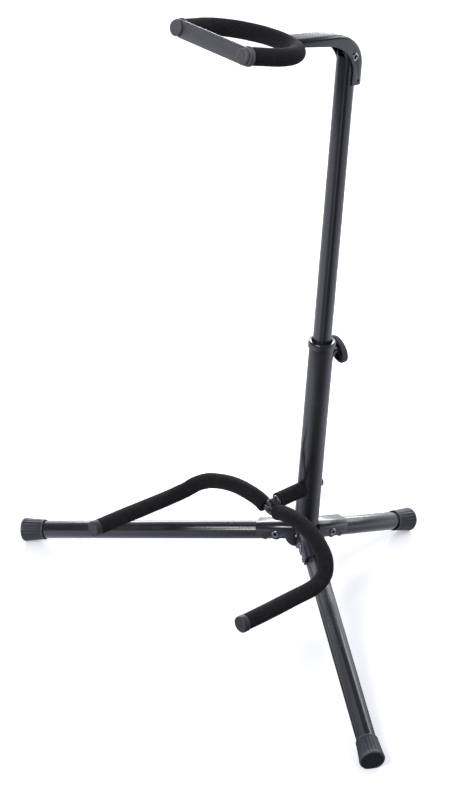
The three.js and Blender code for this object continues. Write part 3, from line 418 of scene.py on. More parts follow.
# Leg brackets: three channels pressed from 1.5 mm sheet, folded over the legs and welded to the hub.
# Each cheek has a round lobe at the hub, an ear for the leg's rivet and a small ear for its catch. They
# meet each other in seams at the hub, and one shape serves all three.
DROOP = math.radians(13.5)
LEG_SPREAD = math.pi / 3
LEG_TURNS = {"front_left": -LEG_SPREAD, "front_right": LEG_SPREAD, "rear": math.pi}
LEG_PIVOT = 29.5
SHEET = 1.5
CHANNEL_HALF = 11.3
SHOULDER = 7.5
CHANNEL_START = 8
CHANNEL_END = 50.5
CHEEK_DROP = 14.5
CHEEK_EDGE = -2.4
LOBE_REACH = 9.7
LOBE_DROP = 4
LOBE_RADIUS = 9.6
EAR_RADIUS = 6.2
CATCH = (41.5, -2.8)
CATCH_RADIUS = 3.2
CATCH_HOLE = 1
SEAM_GAP = 0.15


def leg_place(leg):
    """The hub end of a leg: x runs out along it, y across it."""
    return COLUMN @ Matrix.Rotation(LEG_TURNS[leg] - math.pi / 2, 4, "Z") @ Matrix.Rotation(DROOP, 4, "Y")


def block(low, high):
    """A plain square cutter between two corners, in millimetres."""
    bpy.ops.object.select_all(action="DESELECT")
    bpy.ops.mesh.primitive_cube_add(size=1)
    cutter = bpy.context.object
    size = [(b - a) * MM for a, b in zip(low, high)]
    middle = [(a + b) / 2 * MM for a, b in zip(low, high)]
    cutter.matrix_world = Matrix.Translation(middle) @ Matrix.Diagonal((*size, 1))
    return cutter


def across(x, z):
    """The place of a pin across a bracket or tube, at a reach and height."""
    return Matrix.Translation((x * MM, 0, z * MM)) @ ALONG_Y


channel = block((CHANNEL_START, -CHANNEL_HALF, -CHEEK_DROP), (CHANNEL_END, CHANNEL_HALF, CHANNEL_HALF))
channel.name = "leg_channel"
only(channel)
bpy.ops.object.transform_apply(location=True, rotation=True, scale=True)
bpy.ops.object.mode_set(mode="EDIT")
bpy.ops.mesh.select_all(action="DESELECT")
bpy.ops.mesh.select_mode(type="FACE")
bpy.ops.object.mode_set(mode="OBJECT")
for polygon in channel.data.polygons:
    polygon.select = polygon.normal.z < -0.5 or abs(polygon.normal.x) > 0.5
bpy.ops.object.mode_set(mode="EDIT")
bpy.ops.mesh.delete(type="FACE")
bpy.ops.mesh.select_mode(type="EDGE")
bpy.ops.object.mode_set(mode="OBJECT")
for edge in channel.data.edges:
    ends = [channel.data.vertices[v].co for v in edge.vertices]
    edge.select = ends[0].z > 0 and ends[1].z > 0 and ends[0].y * ends[1].y > 0
bpy.ops.object.mode_set(mode="EDIT")
bpy.ops.mesh.bevel(offset=SHOULDER * MM, segments=12, affect="EDGES")
bpy.ops.mesh.select_mode(type="VERT")
bpy.ops.object.mode_set(mode="OBJECT")
apply_modifier(channel, "SOLIDIFY", thickness=SHEET * MM, offset=-1, use_even_offset=True)

cheeks = block((CHANNEL_START, -20, CHEEK_EDGE), (CHANNEL_END, 20, 16))
carve(cheeks, peg(LOBE_RADIUS, -19, 19, across(LOBE_REACH, -LOBE_DROP), 96), "UNION")
carve(cheeks, peg(EAR_RADIUS, -18, 18, across(LEG_PIVOT, 0), 72), "UNION")
carve(cheeks, block((LOBE_REACH, -17, 2 * CHEEK_EDGE), (LEG_PIVOT, 17, 0)), "UNION")
carve(cheeks, peg(CATCH_RADIUS, -16, 16, across(*CATCH), 48), "UNION")
carve(cheeks, block((-10, -21, -30), (CHANNEL_START, 21, 30)))
carve(channel, cheeks, "INTERSECT")
drill(channel, across(LEG_PIVOT, 0))
drill(channel, across(*CATCH), CATCH_HOLE, sides=24)
only(channel)
bpy.ops.object.mode_set(mode="EDIT")
for side in (1, -1):
    seam = Vector((math.sin(LEG_SPREAD), -side * math.cos(LEG_SPREAD), 0))
    seam.rotate(Matrix.Rotation(-DROOP, 3, "Y"))
    bpy.ops.mesh.select_all(action="SELECT")
    bpy.ops.mesh.bisect(plane_co=seam * SEAM_GAP * MM, plane_no=seam, clear_inner=True, use_fill=True)
bpy.ops.object.mode_set(mode="OBJECT")
ease_edges(channel, 0.35)

for leg in LEG_TURNS:
    bracket = channel.copy()
    bracket.data = channel.data.copy()
    bracket.name = bracket.data.name = "leg_channel_" + leg
    bpy.context.scene.collection.objects.link(bracket)
    fit(bracket, leg_place(leg), "column", enamel, "leg_bracket_" + leg)
bpy.data.objects.remove(channel)


# Leg rivets: hollow nickel-plated rivets, their rolled heads bright and their bores dark.
# Each leg swings on one, and a fourth at the head of the upper tube carries the neck holder.
RIVET_FACE = CHANNEL_HALF + FIT
RIVET_HEAD = RIVET_FACE + 0.9
NICKEL_DARK = (0.36, 0.37, 0.39, 1)
NICKEL_LIGHT = (0.5, 0.51, 0.53, 1)

nickel, tree, shader, place = new_finish("nickel_plate")
shader.inputs["Metallic"].default_value = 1
plating = blended(tree, patchy(tree, place, 160, 4, 0, 1), NICKEL_DARK, NICKEL_LIGHT)
dress(tree, shader, plating, patchy(tree, place, 700, 3, 0.2, 0.36))
raised(tree, shader, grain(tree, place, 1500, 2), 0.02, 0.4)


def hollow_rivet(name):
    """A rivet along z, a head on each of the two faces that it holds."""
    face, head = RIVET_FACE, RIVET_HEAD
    rivet = turn_on_lathe(name, [
        (1.9, -head + 0.5), (2.2, -head + 0.1), (2.7, -head), (3.5, -head + 0.3), (4.1, -face), (3, -face),
        (3, face), (4.1, face), (3.5, head - 0.3), (2.7, head), (2.2, head - 0.1), (1.9, head - 0.5),
        (1.9, -head + 0.5),
    ], 40)
    ease_edges(rivet, 0.12)
    return rivet


for leg in LEG_TURNS:
    rivet = hollow_rivet("leg_rivet_steel_" + leg)
    fit(rivet, leg_place(leg) @ across(LEG_PIVOT, 0), "column", nickel, "leg_rivet_" + leg)


# Legs: 19 mm steel tubes. The end at the rivet is rounded about it, so that the leg can fold
# inside its bracket, and the outer end goes down into a rubber foot.
TUBE_RADIUS = 9.5
TUBE_WALL = 1.2
TUBE_STEP = 0.8
LEG_NOSE = 5.7
LEG_REACHES = {"front_left": 320, "front_right": 320, "rear": 159.3}
FOOT_FLOOR = 4
ALONG_X = Matrix.Rotation(math.pi / 2, 4, "Y")


def hinged_tube(name, length, nose):
    """A tube along x from a rivet about y, its end there cut to a nose of that radius round the rivet."""
    radius, bore = TUBE_RADIUS, TUBE_RADIUS - TUBE_WALL
    profile = [(bore, -radius), (radius, -radius), (radius, length), (bore, length), (bore, -radius)]
    tube = turn_on_lathe(name, profile, 96)
    only(tube)
    tube.matrix_world = ALONG_X
    bpy.ops.object.transform_apply(location=True, rotation=True, scale=True)
    keep = block((TUBE_STEP, -12, -12), (length + 5, 12, 12))
    carve(keep, peg(nose, -11, 11, ALONG_Y, 96), "UNION")
    carve(tube, keep, "INTERSECT")
    drill(tube, ALONG_Y, depth=12)
    ease_edges(tube, 0.2)
    return tube


for leg, reach in LEG_REACHES.items():
    tube = hinged_tube("leg_steel_" + leg, reach - LEG_PIVOT - FOOT_FLOOR - FIT, LEG_NOSE)
    pivot = leg_place(leg) @ Matrix.Translation((LEG_PIVOT * MM, 0, 0))
    fit(tube, pivot, "leg_" + leg, enamel, "leg_tube_" + leg)


# Feet: moulded rubber boots pushed over the legs' ends, a little conical and finely ribbed for grip,
# with a mouth that stands off the tube and a dished end. Each has a flat where it stands on the floor.
FOOT_LENGTH = 25
FOOT_RIBS = 22
CORNERS_PER_RIB = 4
RUBBER_DARK = (0.023, 0.0245, 0.032, 1)
RUBBER_LIGHT = (0.038, 0.0405, 0.052, 1)
# Painted shade: the colour of the grooves between the ribs.
PAINTED_GROOVE_SHADE = (0.006, 0.0064, 0.009, 1)
# Painted highlight: the colour of the feet's edges and rims.
PAINTED_RUBBER_HIGHLIGHT = (0.17, 0.175, 0.2, 1)


def draw_flutes(piece, ribs, inside, low, high, share):
    """Draws a turned piece in between its ribs, to a share of its radius, in a band from low to high."""
    bpy.ops.object.mode_set(mode="EDIT")
    bpy.ops.mesh.select_mode(type="VERT")
    bpy.ops.mesh.select_all(action="DESELECT")
    bpy.ops.object.mode_set(mode="OBJECT")
    for vertex in piece.data.vertices:
        corner = vertex.co / MM
        step = round(math.atan2(corner.y, corner.x) / math.tau * CORNERS_PER_RIB * ribs)
        between = step % CORNERS_PER_RIB in (1, 2)
        vertex.select = between and corner.xy.length > inside and low < corner.z < high
    bpy.ops.object.mode_set(mode="EDIT")
    bpy.ops.transform.resize(value=(share, share, 1), center_override=(0, 0, 0))
    bpy.ops.object.mode_set(mode="OBJECT")


rubber, tree, shader, place = new_finish("moulded_rubber")
shader.inputs["Specular IOR Level"].default_value = 0.45
bloom_and_painted_light = blended(tree, patchy(tree, place, 60, 5, 0, 1, 0.6), RUBBER_DARK, RUBBER_LIGHT)
# Painted shade: the grooves between the ribs are darkened by how hollow they are.
bloom_and_painted_light = blended(tree, pointed(tree, 0.44, 0.49, 0.85, 0), bloom_and_painted_light, PAINTED_GROOVE_SHADE)
# Painted highlight: the edges and rims are lightened by how pointed they are.
bloom_and_painted_light = blended(tree, pointed(tree, 0.51, 0.58, 0, 0.7), bloom_and_painted_light, PAINTED_RUBBER_HIGHLIGHT)
dress(tree, shader, bloom_and_painted_light, patchy(tree, place, 240, 4, 0.36, 0.52))
raised(tree, shader, grain(tree, place, 1600, 3, 0.6), 0.06, 0.6)

for leg, reach in LEG_REACHES.items():
    end = reach - LEG_PIVOT
    mouth = end - FOOT_LENGTH
    foot = turn_on_lathe("rubber_foot_" + leg, [
        (9.8, end - FOOT_FLOOR), (9.8, mouth + 2.2), (10.35, mouth + 0.5), (10.5, mouth),
        (10.75, mouth + 0.1), (10.9, mouth + 0.5), (10.9, mouth + 1.3), (10.75, mouth + 1.7),
        (10.9, mouth + 3), (12.1, end - 5), (12.35, end - 3), (12.5, end - 2.2), (12.5, end - 1.2),
        (12.15, end - 0.45), (11.4, end - 0.2), (10.8, end - 0.1), (10.6, end - 0.7),
    ], CORNERS_PER_RIB * FOOT_RIBS)
    draw_flutes(foot, FOOT_RIBS, 10.85, mouth + 2.9, end - 2.5, 0.96)
    pivot = leg_place(leg) @ Matrix.Translation((LEG_PIVOT * MM, 0, 0))
    fit(foot, pivot @ ALONG_X, "leg_" + leg, rubber, "foot_" + leg)
    bpy.ops.object.mode_set(mode="EDIT")
    bpy.ops.mesh.select_all(action="SELECT")
    bpy.ops.mesh.bisect(plane_co=(0, 0, 0), plane_no=(0, 0, 1), clear_inner=True, use_fill=True)
    put_in_order()
    bpy.ops.object.mode_set(mode="OBJECT")


# Yoke mount: a black bolt goes through the column, a foam-covered spacer tube, a bright washer, a lock
# nut and the yoke's eye, dipping a little. A dome nut closes it behind. Here z runs along the bolt.
YOKE_MOUNT = COLUMN @ BOLT_LINE
SPACER_START = 4
SPACER_END = 44.5
SPACER_RADIUS = 5
NUT_START = SPACER_END + 1.8
NUT_END = NUT_START + 3.6
NUT_RADIUS = 5.54
EYE_CENTRE = SPACER_END + 7.7
EYE_FACE = EYE_CENTRE + 2.3
DOME_NUT_SEAT = -13.22
LEANING = Matrix.Rotation(-YOKE_DIP, 4, "X") @ ALONG_Y
RESIN_DARK = (0.026, 0.0265, 0.032, 1)
RESIN_LIGHT = (0.04, 0.041, 0.048, 1)
# Painted highlight: the colour of the plastic's edges.
PAINTED_RESIN_HIGHLIGHT = (0.15, 0.152, 0.17, 1)

resin, tree, shader, place = new_finish("black_moulded_plastic")
moulding_and_painted_highlight = blended(tree, patchy(tree, place, 90, 4, 0, 1), RESIN_DARK, RESIN_LIGHT)
# Painted highlight: the edges are lightened by how pointed they are.
moulding_and_painted_highlight = blended(tree, pointed(tree, 0.505, 0.57, 0, 0.8), moulding_and_painted_highlight, PAINTED_RESIN_HIGHLIGHT)
dress(tree, shader, moulding_and_painted_highlight, patchy(tree, place, 400, 3, 0.34, 0.48))
raised(tree, shader, grain(tree, place, 2200, 3, 0.6), 0.05, 0.5)

bolt = turn_on_lathe("yoke_bolt_steel", [
    (2.6, -14.9), (3, -14.5), (3, EYE_FACE), (4.2, EYE_FACE), (4.2, EYE_FACE + 1.1), (4, EYE_FACE + 1.5),
    (3.5, EYE_FACE + 1.8),
], 48)
carve(bolt, peg(2.2, EYE_FACE + 0.7, EYE_FACE + 6, Matrix(), 6))
ease_edges(bolt, 0.12)
fit(bolt, YOKE_MOUNT, "column", enamel, "yoke_bolt")

nut = turn_on_lathe("dome_nut_cap", [
    (4.2, 0), (4.2, 2.4), (3.99, 3.05), (3.4, 3.6), (2.47, 4.1), (1.3, 4.4), (0.3, 4.5),
], 48)
carve(nut, peg(5.5, 0, 2.4, Matrix(), 6), "UNION")
ease_edges(nut, 0.3)
behind = along_z(DOME_NUT_SEAT) @ Matrix.Rotation(math.pi, 4, "X")
fit(nut, YOKE_MOUNT @ behind, "column", resin, "yoke_nut")

spacer = turn_on_lathe("spacer_tube", [
    (PIN_HOLE, SPACER_START), (SPACER_RADIUS, SPACER_START), (SPACER_RADIUS, SPACER_END),
    (PIN_HOLE, SPACER_END), (PIN_HOLE, SPACER_START),
], 48)
carve(spacer, peg(COLUMN_RADIUS + FIT, -12, 12, LEANING, 96))
ease_edges(spacer, 0.2)
fit(spacer, YOKE_MOUNT, "column", enamel, "yoke_spacer")

washer = turn_on_lathe("eye_washer", [
    (PIN_HOLE, 0), (5.9, 0), (5.9, 1.2), (PIN_HOLE, 1.2), (PIN_HOLE, 0),
], 48)
ease_edges(washer, 0.25)
fit(washer, YOKE_MOUNT @ along_z(SPACER_END + FIT), "column", nickel, "yoke_washer")

lock_nut = peg(NUT_RADIUS, NUT_START, NUT_END, Matrix(), 6)
lock_nut.name = "lock_nut_steel"
only(lock_nut)
bpy.ops.object.transform_apply(location=True, rotation=True, scale=True)
rounding = [(4.7, NUT_START - 0.1), (5.6, NUT_START + 0.5), (5.6, NUT_END - 0.5), (4.7, NUT_END + 0.1)]
carve(lock_nut, turn_on_lathe("nut_rounding", rounding, 64), "INTERSECT")
carve(lock_nut, peg(PIN_HOLE, 40, 56, Matrix()))
ease_edges(lock_nut, 0.12)
fit(lock_nut, YOKE_MOUNT, "column", enamel, "yoke_lock_nut")


# Spacer foam: a short sleeve of matt black closed-cell foam, cut hollow against the column.
# All the stand's foam is the same: finely celled, soft at its cut ends and never quite even.
SPACER_FOAM_RADIUS = 8
SPACER_FOAM_BORE = 5.3
SPACER_FOAM_START = 6
SPACER_FOAM_END = SPACER_END - 1
SPACER_FOAM_STEPS = 24
DIMPLE_SIZE = 0.02
DIMPLE_DEPTH = 0.5
FOAM_DARK = (0.0028, 0.0027, 0.0034, 1)
FOAM_LIGHT = (0.0115, 0.0112, 0.0135, 1)
FOAM_PORE = (0.014, 0.0136, 0.0165, 1)
FOAM_LINT = (0.034, 0.033, 0.039, 1)

foam, tree, shader, place = new_finish("closed_cell_foam")
shader.inputs["Specular IOR Level"].default_value = 0.1
shader.inputs["Sheen Weight"].default_value = 0.06
shader.inputs["Sheen Roughness"].default_value = 0.6
shader.inputs["Roughness"].default_value = 0.9
cells = add_node(tree, "ShaderNodeTexVoronoi", {"Vector": place, "Scale": 1500}, feature="F1")
cells = cells.outputs["Distance"]
tone = graded(tree, grain(tree, place, 120, 6, 0.7), 0.36, 0.66, 0, 1)
skin = blended(tree, tone, FOAM_DARK, FOAM_LIGHT)
skin = blended(tree, graded(tree, cells, 0.1, 0.75, 0, 0.5), skin, FOAM_PORE)
lint = graded(tree, grain(tree, place, 620, 3, 0.7), 0.56, 0.72, 0, 0.8)
tree.links.new(blended(tree, lint, skin, FOAM_LINT), shader.inputs["Base Color"])
raised(tree, shader, calculated(tree, cells, grain(tree, place, 500, 3, 0.6), "ADD"), 0.22, 0.8)

dimples = bpy.data.textures.new("foam_dimples", "CLOUDS")
dimples.noise_scale = DIMPLE_SIZE
dimples.noise_depth = 2


def soften(piece, place, body, node):
    ease_edges(piece, 0.9, 3)
    depth = DIMPLE_DEPTH * MM
    apply_modifier(piece, "DISPLACE", texture=dimples, texture_coords="LOCAL", strength=depth, mid_level=0.5)
    fit(piece, place, body, foam, node)


start, end, steps = SPACER_FOAM_START, SPACER_FOAM_END, SPACER_FOAM_STEPS
outside = [(SPACER_FOAM_RADIUS, start + (end - start) * step / steps) for step in range(steps + 1)]
sleeve = turn_on_lathe("spacer_sleeve", [
    (SPACER_FOAM_BORE, start), *outside, (SPACER_FOAM_BORE, end), (SPACER_FOAM_BORE, start),
], 48)
carve(sleeve, peg(COLUMN_RADIUS + 0.8, -12, 12, LEANING, 96))
soften(sleeve, YOKE_MOUNT, "column", "spacer_foam")


# Body yoke: an 8 mm steel rod bent to a cradle, flattened to an eye in its middle, where it turns
# on the bolt. Each arm dips from the eye, rises over a shoulder, turns forward and drops to its tip.
ROD_RADIUS = 4
YOKE = COLUMN @ along_z(YOKE_HEIGHT) @ Matrix.Rotation(math.pi / 2, 4, "X")
DIPPED = Matrix.Rotation(YOKE_DIP, 4, "X")
ROD_MIDDLE = EYE_CENTRE - 0.8
EYE_START = EYE_CENTRE - 2
EYE_END = EYE_CENTRE + 2
EYE_RADIUS = 5.4
EYE_STEM_HALF = 3.5
EYE_STEM_DROP = 9.7
EYE_BACK_ROOM = 6.2
EYE_FRONT_ROOM = 4.5
YOKE_HALF_WIDTH = 113
YOKE_REACH = 134.6
YOKE_DROP = 41.4
ARM_STEPS = 12
YOKE_ARM_SHARES = [  # sideways, down and forward
    (0, 0.32, 0), (0.075, 0.25, 0.002), (0.16, 0.172, 0.006), (0.296, 0.115, 0.019), (0.453, 0.112, 0.031),
    (0.61, 0.185, 0.051), (0.752, 0.305, 0.08), (0.863, 0.49, 0.114), (0.936, 0.7, 0.176),
    (0.976, 0.823, 0.289), (0.989, 0.894, 0.531), (0.998, 0.948, 0.774), (1, 1, 1),
]


def arm_point(row, side):
    """A point of the arm on one side, from its shares of the yoke's half width, drop and reach."""
    sideways, down, forward = row
    return Vector((side * sideways * YOKE_HALF_WIDTH, -down * YOKE_DROP, ROD_MIDDLE + forward * YOKE_REACH))


def smooth_line(points, steps):
    """A smooth line through the points, with so many steps from each to the next."""
    points = [points[0] * 2 - points[1], *points, points[-1] * 2 - points[-2]]
    line = []
    for before, start, end, after in zip(points, points[1:], points[2:], points[3:]):
        gaps = ((before, start), (start, end), (end, after))
        first, middle, last = [max((b - a).length, 1e-4) ** 0.5 for a, b in gaps]
        leave = (start - before) / first - (end - before) / (first + middle) + (end - start) / middle
        arrive = (end - start) / middle - (after - start) / (middle + last) + (after - end) / last
        leave, arrive = leave * middle, arrive * middle
        for step in range(steps):
            t = step / steps
            line.append(
                start * (2 * t**3 - 3 * t**2 + 1) + leave * (t**3 - 2 * t**2 + t)
                + end * (3 * t**2 - 2 * t**3) + arrive * (t**3 - t**2)
            )
    return [*line, points[-2]]


def trimmed(line, start, end):
    """The line without its first and last millimetres."""
    for cut in (start, end):
        while cut > 0:
            step = (line[1] - line[0]).length
            if step > cut:
                line = [line[0].lerp(line[1], cut / step), *line[1:]]
                break
            cut -= step
            line = line[1:]
        line = line[::-1]
    return line


def drawn_along(name, line, radius, resolution, capped=True):
    """Round stock along a line in millimetres."""
    curve = bpy.data.curves.new(name, "CURVE")
    curve.dimensions = "3D"
    curve.twist_mode = "MINIMUM"
    curve.bevel_depth = radius * MM
    curve.bevel_resolution = resolution
    curve.use_fill_caps = capped
    spline = curve.splines.new("POLY")
    spline.points.add(len(line) - 1)
    for point, place in zip(spline.points, line):
        point.co = (*(place * MM), 1)
    piece = bpy.data.objects.new(name, curve)
    bpy.context.scene.collection.objects.link(piece)
    only(piece)
    bpy.ops.object.convert(target="MESH")
    bpy.ops.object.mode_set(mode="EDIT")
    bpy.ops.mesh.select_all(action="SELECT")
    bpy.ops.mesh.remove_doubles(threshold=0.002 * MM)
    bpy.ops.mesh.normals_make_consistent(inside=False)
    bpy.ops.object.mode_set(mode="OBJECT")
    return bpy.context.object


points = [arm_point(row, -1) for row in reversed(YOKE_ARM_SHARES[1:])]
points += [arm_point(row, 1) for row in YOKE_ARM_SHARES]
yoke_rod = drawn_along("yoke_rod_steel", smooth_line(points, ARM_STEPS), ROD_RADIUS, 6)
eye = peg(EYE_RADIUS, EYE_START, EYE_END, Matrix(), 64)
carve(eye, block((-EYE_STEM_HALF, -EYE_STEM_DROP, EYE_START), (EYE_STEM_HALF, 0, EYE_END)), "UNION")
eye.matrix_world = DIPPED @ eye.matrix_world
carve(yoke_rod, eye, "UNION")
carve(yoke_rod, peg(PIN_HOLE, 30, 60, DIPPED))
carve(yoke_rod, peg(EYE_BACK_ROOM, 30, EYE_START, DIPPED))
carve(yoke_rod, peg(EYE_FRONT_ROOM, EYE_END, 60, DIPPED))
ease_edges(yoke_rod, 0.5, 3, 40)
fit(yoke_rod, YOKE, "yoke", enamel, "yoke_rod")


# Yoke foam: a sleeve of the same foam on each arm, pushed over the rod from its tip.
# Its cut end by the eye stands open round the rod.
FOAM_RADIUS = 8.1
FOAM_BORE = 4.8
EYE_GAP = 9.2
TIP_LIP = 1.6
SIDES = ((1, "right"), (-1, "left"))


def arm_line(side):
    """The middle line of the arm on one side, from the eye to its tip."""
    return smooth_line([arm_point(row, side) for row in YOKE_ARM_SHARES], ARM_STEPS)


for side, name in SIDES:
    line = trimmed(arm_line(side), EYE_GAP, TIP_LIP + FIT)
    sleeve = drawn_along("yoke_sleeve_" + name, line, FOAM_RADIUS, 8, capped=False)
    apply_modifier(sleeve, "SOLIDIFY", thickness=(FOAM_RADIUS - FOAM_BORE) * MM, offset=-1)
    soften(sleeve, YOKE, "yoke", "yoke_foam_" + name)


# Yoke tips: grey plastic caps glued on the rod's ends against the foam, with a rounded rim,
# a face dished inside it and the small pip of its mould in the middle. They are a darker copy of the
# grey plastic of the neck yoke's discs and buttons.
CAP_DARK = (0.056, 0.055, 0.062, 1)
CAP_LIGHT = (0.084, 0.083, 0.093, 1)
# Painted highlight: the colour of the caps' rims and edges.
PAINTED_CAP_HIGHLIGHT = (0.2, 0.2, 0.215, 1)
TIP_SHARE = 0.42

cap_grey, tree, shader, place = new_finish("grey_plastic_cap")
moulding_and_painted_highlight = blended(tree, patchy(tree, place, 120, 4, 0, 1, 0.6), CAP_DARK, CAP_LIGHT)
# Painted highlight: the rims and edges are lightened by how pointed they are.
moulding_and_painted_highlight = blended(tree, pointed(tree, 0.52, 0.6, 0, 0.5), moulding_and_painted_highlight, PAINTED_CAP_HIGHLIGHT)
dress(tree, shader, moulding_and_painted_highlight, patchy(tree, place, 500, 3, 0.45, 0.6))
raised(tree, shader, grain(tree, place, 1800, 3, 0.6), 0.05, 0.5)

tip_grey = cap_grey.copy()
tip_grey.name = "dark_plastic_tip"
for node in tip_grey.node_tree.nodes:
    if node.type == "MIX":
        for colour in (node.inputs[6], node.inputs[7]):
            red, green, blue, _ = colour.default_value
            colour.default_value = (TIP_SHARE * red, TIP_SHARE * green, TIP_SHARE * blue, 1)

for side, name in SIDES:
    arm = arm_line(side)
    heading = (arm[-1] - arm[-2]).normalized()
    tip = turn_on_lathe("tip_cap_" + name, [
        (4.3, 0.3), (4.3, -TIP_LIP), (8.2, -TIP_LIP), (8.4, -1.4), (8.4, 4), (8.15, 4.8), (7.5, 5.4),
        (6.9, 5.4), (6.5, 5.05), (1.3, 5.05), (1.1, 5.3), (0.7, 5.35),
    ], 64)
    ease_edges(tip, 0.15)
    turned = Vector((0, 0, 1)).rotation_difference(heading).to_matrix().to_4x4()
    spot = Matrix.Translation(arm[-1] * MM) @ turned
    fit(tip, YOKE @ spot, "yoke", tip_grey, "yoke_tip_" + name)


# Clamp: a short threaded boss welded to the back of the column, and a steel screw in it.
# Here z runs backward, out of the column.
CLAMP = COLUMN @ along_z(CLAMP_HEIGHT) @ ALONG_Y
SCREW_PITCH = 1.25
SCREW_CREST = 2.8
SCREW_ROOT = 2.35
THREAD_END = 24

boss = turn_on_lathe("clamp_boss_steel", [
    (SCREW_HOLE, 4), (6.4, 4), (6.4, 17), (SCREW_HOLE, 17), (SCREW_HOLE, 4),
], 64)
carve(boss, peg(COLUMN_RADIUS + FIT, -14, 14, ALONG_Y, 96))
ease_edges(boss, 0.4, 3)
fit(boss, CLAMP, "column", enamel, "clamp_boss")

thread = [(2.3, 9.8), (SCREW_CREST, 10.4)]
while thread[-1][1] < THREAD_END:
    height = thread[-1][1]
    thread += [(SCREW_ROOT, height + SCREW_PITCH / 2), (SCREW_CREST, height + SCREW_PITCH)]
screw = turn_on_lathe("clamp_screw_steel", [*thread, (2.4, 26)], 40)
fit(screw, CLAMP, "clamp_screw", nickel, "clamp_screw")


# Clamp knob: an oval thumb knob moulded in black plastic, its rim finely ribbed and its face domed.
# Its back is hollow, with a boss on the screw and one rib along it.
KNOB_BACK = 20.4
KNOB_TURN = math.radians(42)
KNOB_LONG = 15.2
KNOB_SLIM = 8.5
KNOB_RIBS = 52

knob = turn_on_lathe("knob_cap", [
    (12.6, 4.8), (12.6, 0.4), (12.9, 0), (14.6, 0), (KNOB_LONG, 0.5), (KNOB_LONG, 5.2), (14.8, 6.3),
    (13.9, 7.1), (12.4, 7.6), (8, 7.9), (3, 8),
], CORNERS_PER_RIB * KNOB_RIBS)
draw_flutes(knob, KNOB_RIBS, 15, 0.2, 6, 0.972)
bpy.ops.object.mode_set(mode="EDIT")
bpy.ops.mesh.select_all(action="SELECT")
bpy.ops.transform.resize(value=(1, KNOB_SLIM / KNOB_LONG, 1), center_override=(0, 0, 0))
bpy.ops.object.mode_set(mode="OBJECT")
carve(knob, block((-13.6, -0.7, 1.2), (13.6, 0.7, 5.6)), "UNION")
carve(knob, peg(4.4, 0, 6, Matrix(), 48), "UNION")
carve(knob, peg(SCREW_HOLE, -4, 5.9, Matrix(), 48))
ease_edges(knob, 0.12, 2, 40)
knob_seat = CLAMP @ along_z(KNOB_BACK) @ Matrix.Rotation(KNOB_TURN, 4, "Z")
fit(knob, knob_seat, "clamp_knob", resin, "clamp_knob")


# Upper tube: 19 mm enamelled steel tube that slides and turns in the column on a plastic glide.
# Its head is rounded about the rivet that the neck holder folds on. The glide is hidden in the column
# and keeps the solid's own mesh.
POST_BOTTOM = 146
NECK_HEIGHT = 515.3
POST_NOSE = 7
NECK = COLUMN @ along_z(NECK_HEIGHT)
DOWN_THE_COLUMN = Matrix.Rotation(math.pi / 2, 4, "Z") @ Matrix.Rotation(math.pi / 2, 4, "Y")

post = hinged_tube("upper_tube_steel", NECK_HEIGHT - POST_BOTTOM - FIT, POST_NOSE)
fit(post, NECK @ DOWN_THE_COLUMN, "upper_tube", enamel, "upper_tube")
neck_rivet = hollow_rivet("neck_rivet_steel")
fit(neck_rivet, NECK @ ALONG_X, "upper_tube", nickel, "neck_rivet")
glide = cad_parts["upper_tube_glide"]
glide.data.materials.clear()
glide.data.materials.append(resin)


# Neck bracket: a channel pressed from the same sheet, bent over the head of the upper tube.
# Its web runs up the back, over a round shoulder and forward to the mouth that grips the yoke's tang.
BRACKET = NECK @ Matrix.Rotation(-math.pi / 2, 4, "Z") @ Matrix.Rotation(math.pi / 2, 4, "X")
WEB_BACK = -12.8
TAIL_END = -29
MOUTH_REACH = 76.43
MOUTH_TOP = 29.48
MOUTH_DEPTH = 7
NECK_SHOULDER = 4.6
NECK_CATCH = (-6.4, -24.5)
NECK_CATCH_HOLE = 1.2
WEB_CORNERS = [(WEB_BACK, TAIL_END), (WEB_BACK, -10), (24, 25), (MOUTH_REACH, MOUTH_TOP)]
WEB_BEND = [(WEB_BACK, 5.5), (0, 22.95)]
CHEEK_CORNERS = [(MOUTH_REACH, MOUTH_TOP - MOUTH_DEPTH), (29.4, 15), (0.4, -15), (0.4, TAIL_END)]
CHEEK_BEND = [(14.7, 10.8), (1.9, 0)]

bpy.ops.object.select_all(action="DESELECT")
bpy.ops.curve.primitive_bezier_curve_add()
outline = bpy.context.object
outline.name = "neck_channel"
outline.data.dimensions = "2D"
outline.data.fill_mode = "BOTH"
outline.data.extrude = CHANNEL_HALF * MM
outline.data.resolution_u = 24
spline = outline.data.splines[0]
corners = WEB_CORNERS + CHEEK_CORNERS
spline.bezier_points.add(len(corners) - len(spline.bezier_points))
spline.use_cyclic_u = True
for index, corner in enumerate(corners):
    point = spline.bezier_points[index]
    point.handle_left_type = point.handle_right_type = "FREE"
    point.co = (*(Vector(corner) * MM), 0)
    before, after = Vector(corners[index - 1]), Vector(corners[(index + 1) % len(corners)])
    point.handle_left = (*(Vector(corner).lerp(before, 1 / 3) * MM), 0)
    point.handle_right = (*(Vector(corner).lerp(after, 1 / 3) * MM), 0)
for index, bend in ((1, WEB_BEND), (5, CHEEK_BEND)):
    spline.bezier_points[index].handle_right = (*(Vector(bend[0]) * MM), 0)
    spline.bezier_points[index + 1].handle_left = (*(Vector(bend[1]) * MM), 0)
only(outline)
bpy.ops.object.convert(target="MESH")
holder = bpy.context.object
bpy.ops.object.mode_set(mode="EDIT")
bpy.ops.mesh.select_all(action="SELECT")
bpy.ops.mesh.remove_doubles(threshold=0.01 * MM)
bpy.ops.mesh.dissolve_limited(angle_limit=math.radians(0.05))
bpy.ops.mesh.select_all(action="SELECT")
bpy.ops.mesh.normals_make_consistent(inside=False)
bpy.ops.mesh.select_all(action="DESELECT")
bpy.ops.mesh.select_mode(type="FACE")
bpy.ops.object.mode_set(mode="OBJECT")
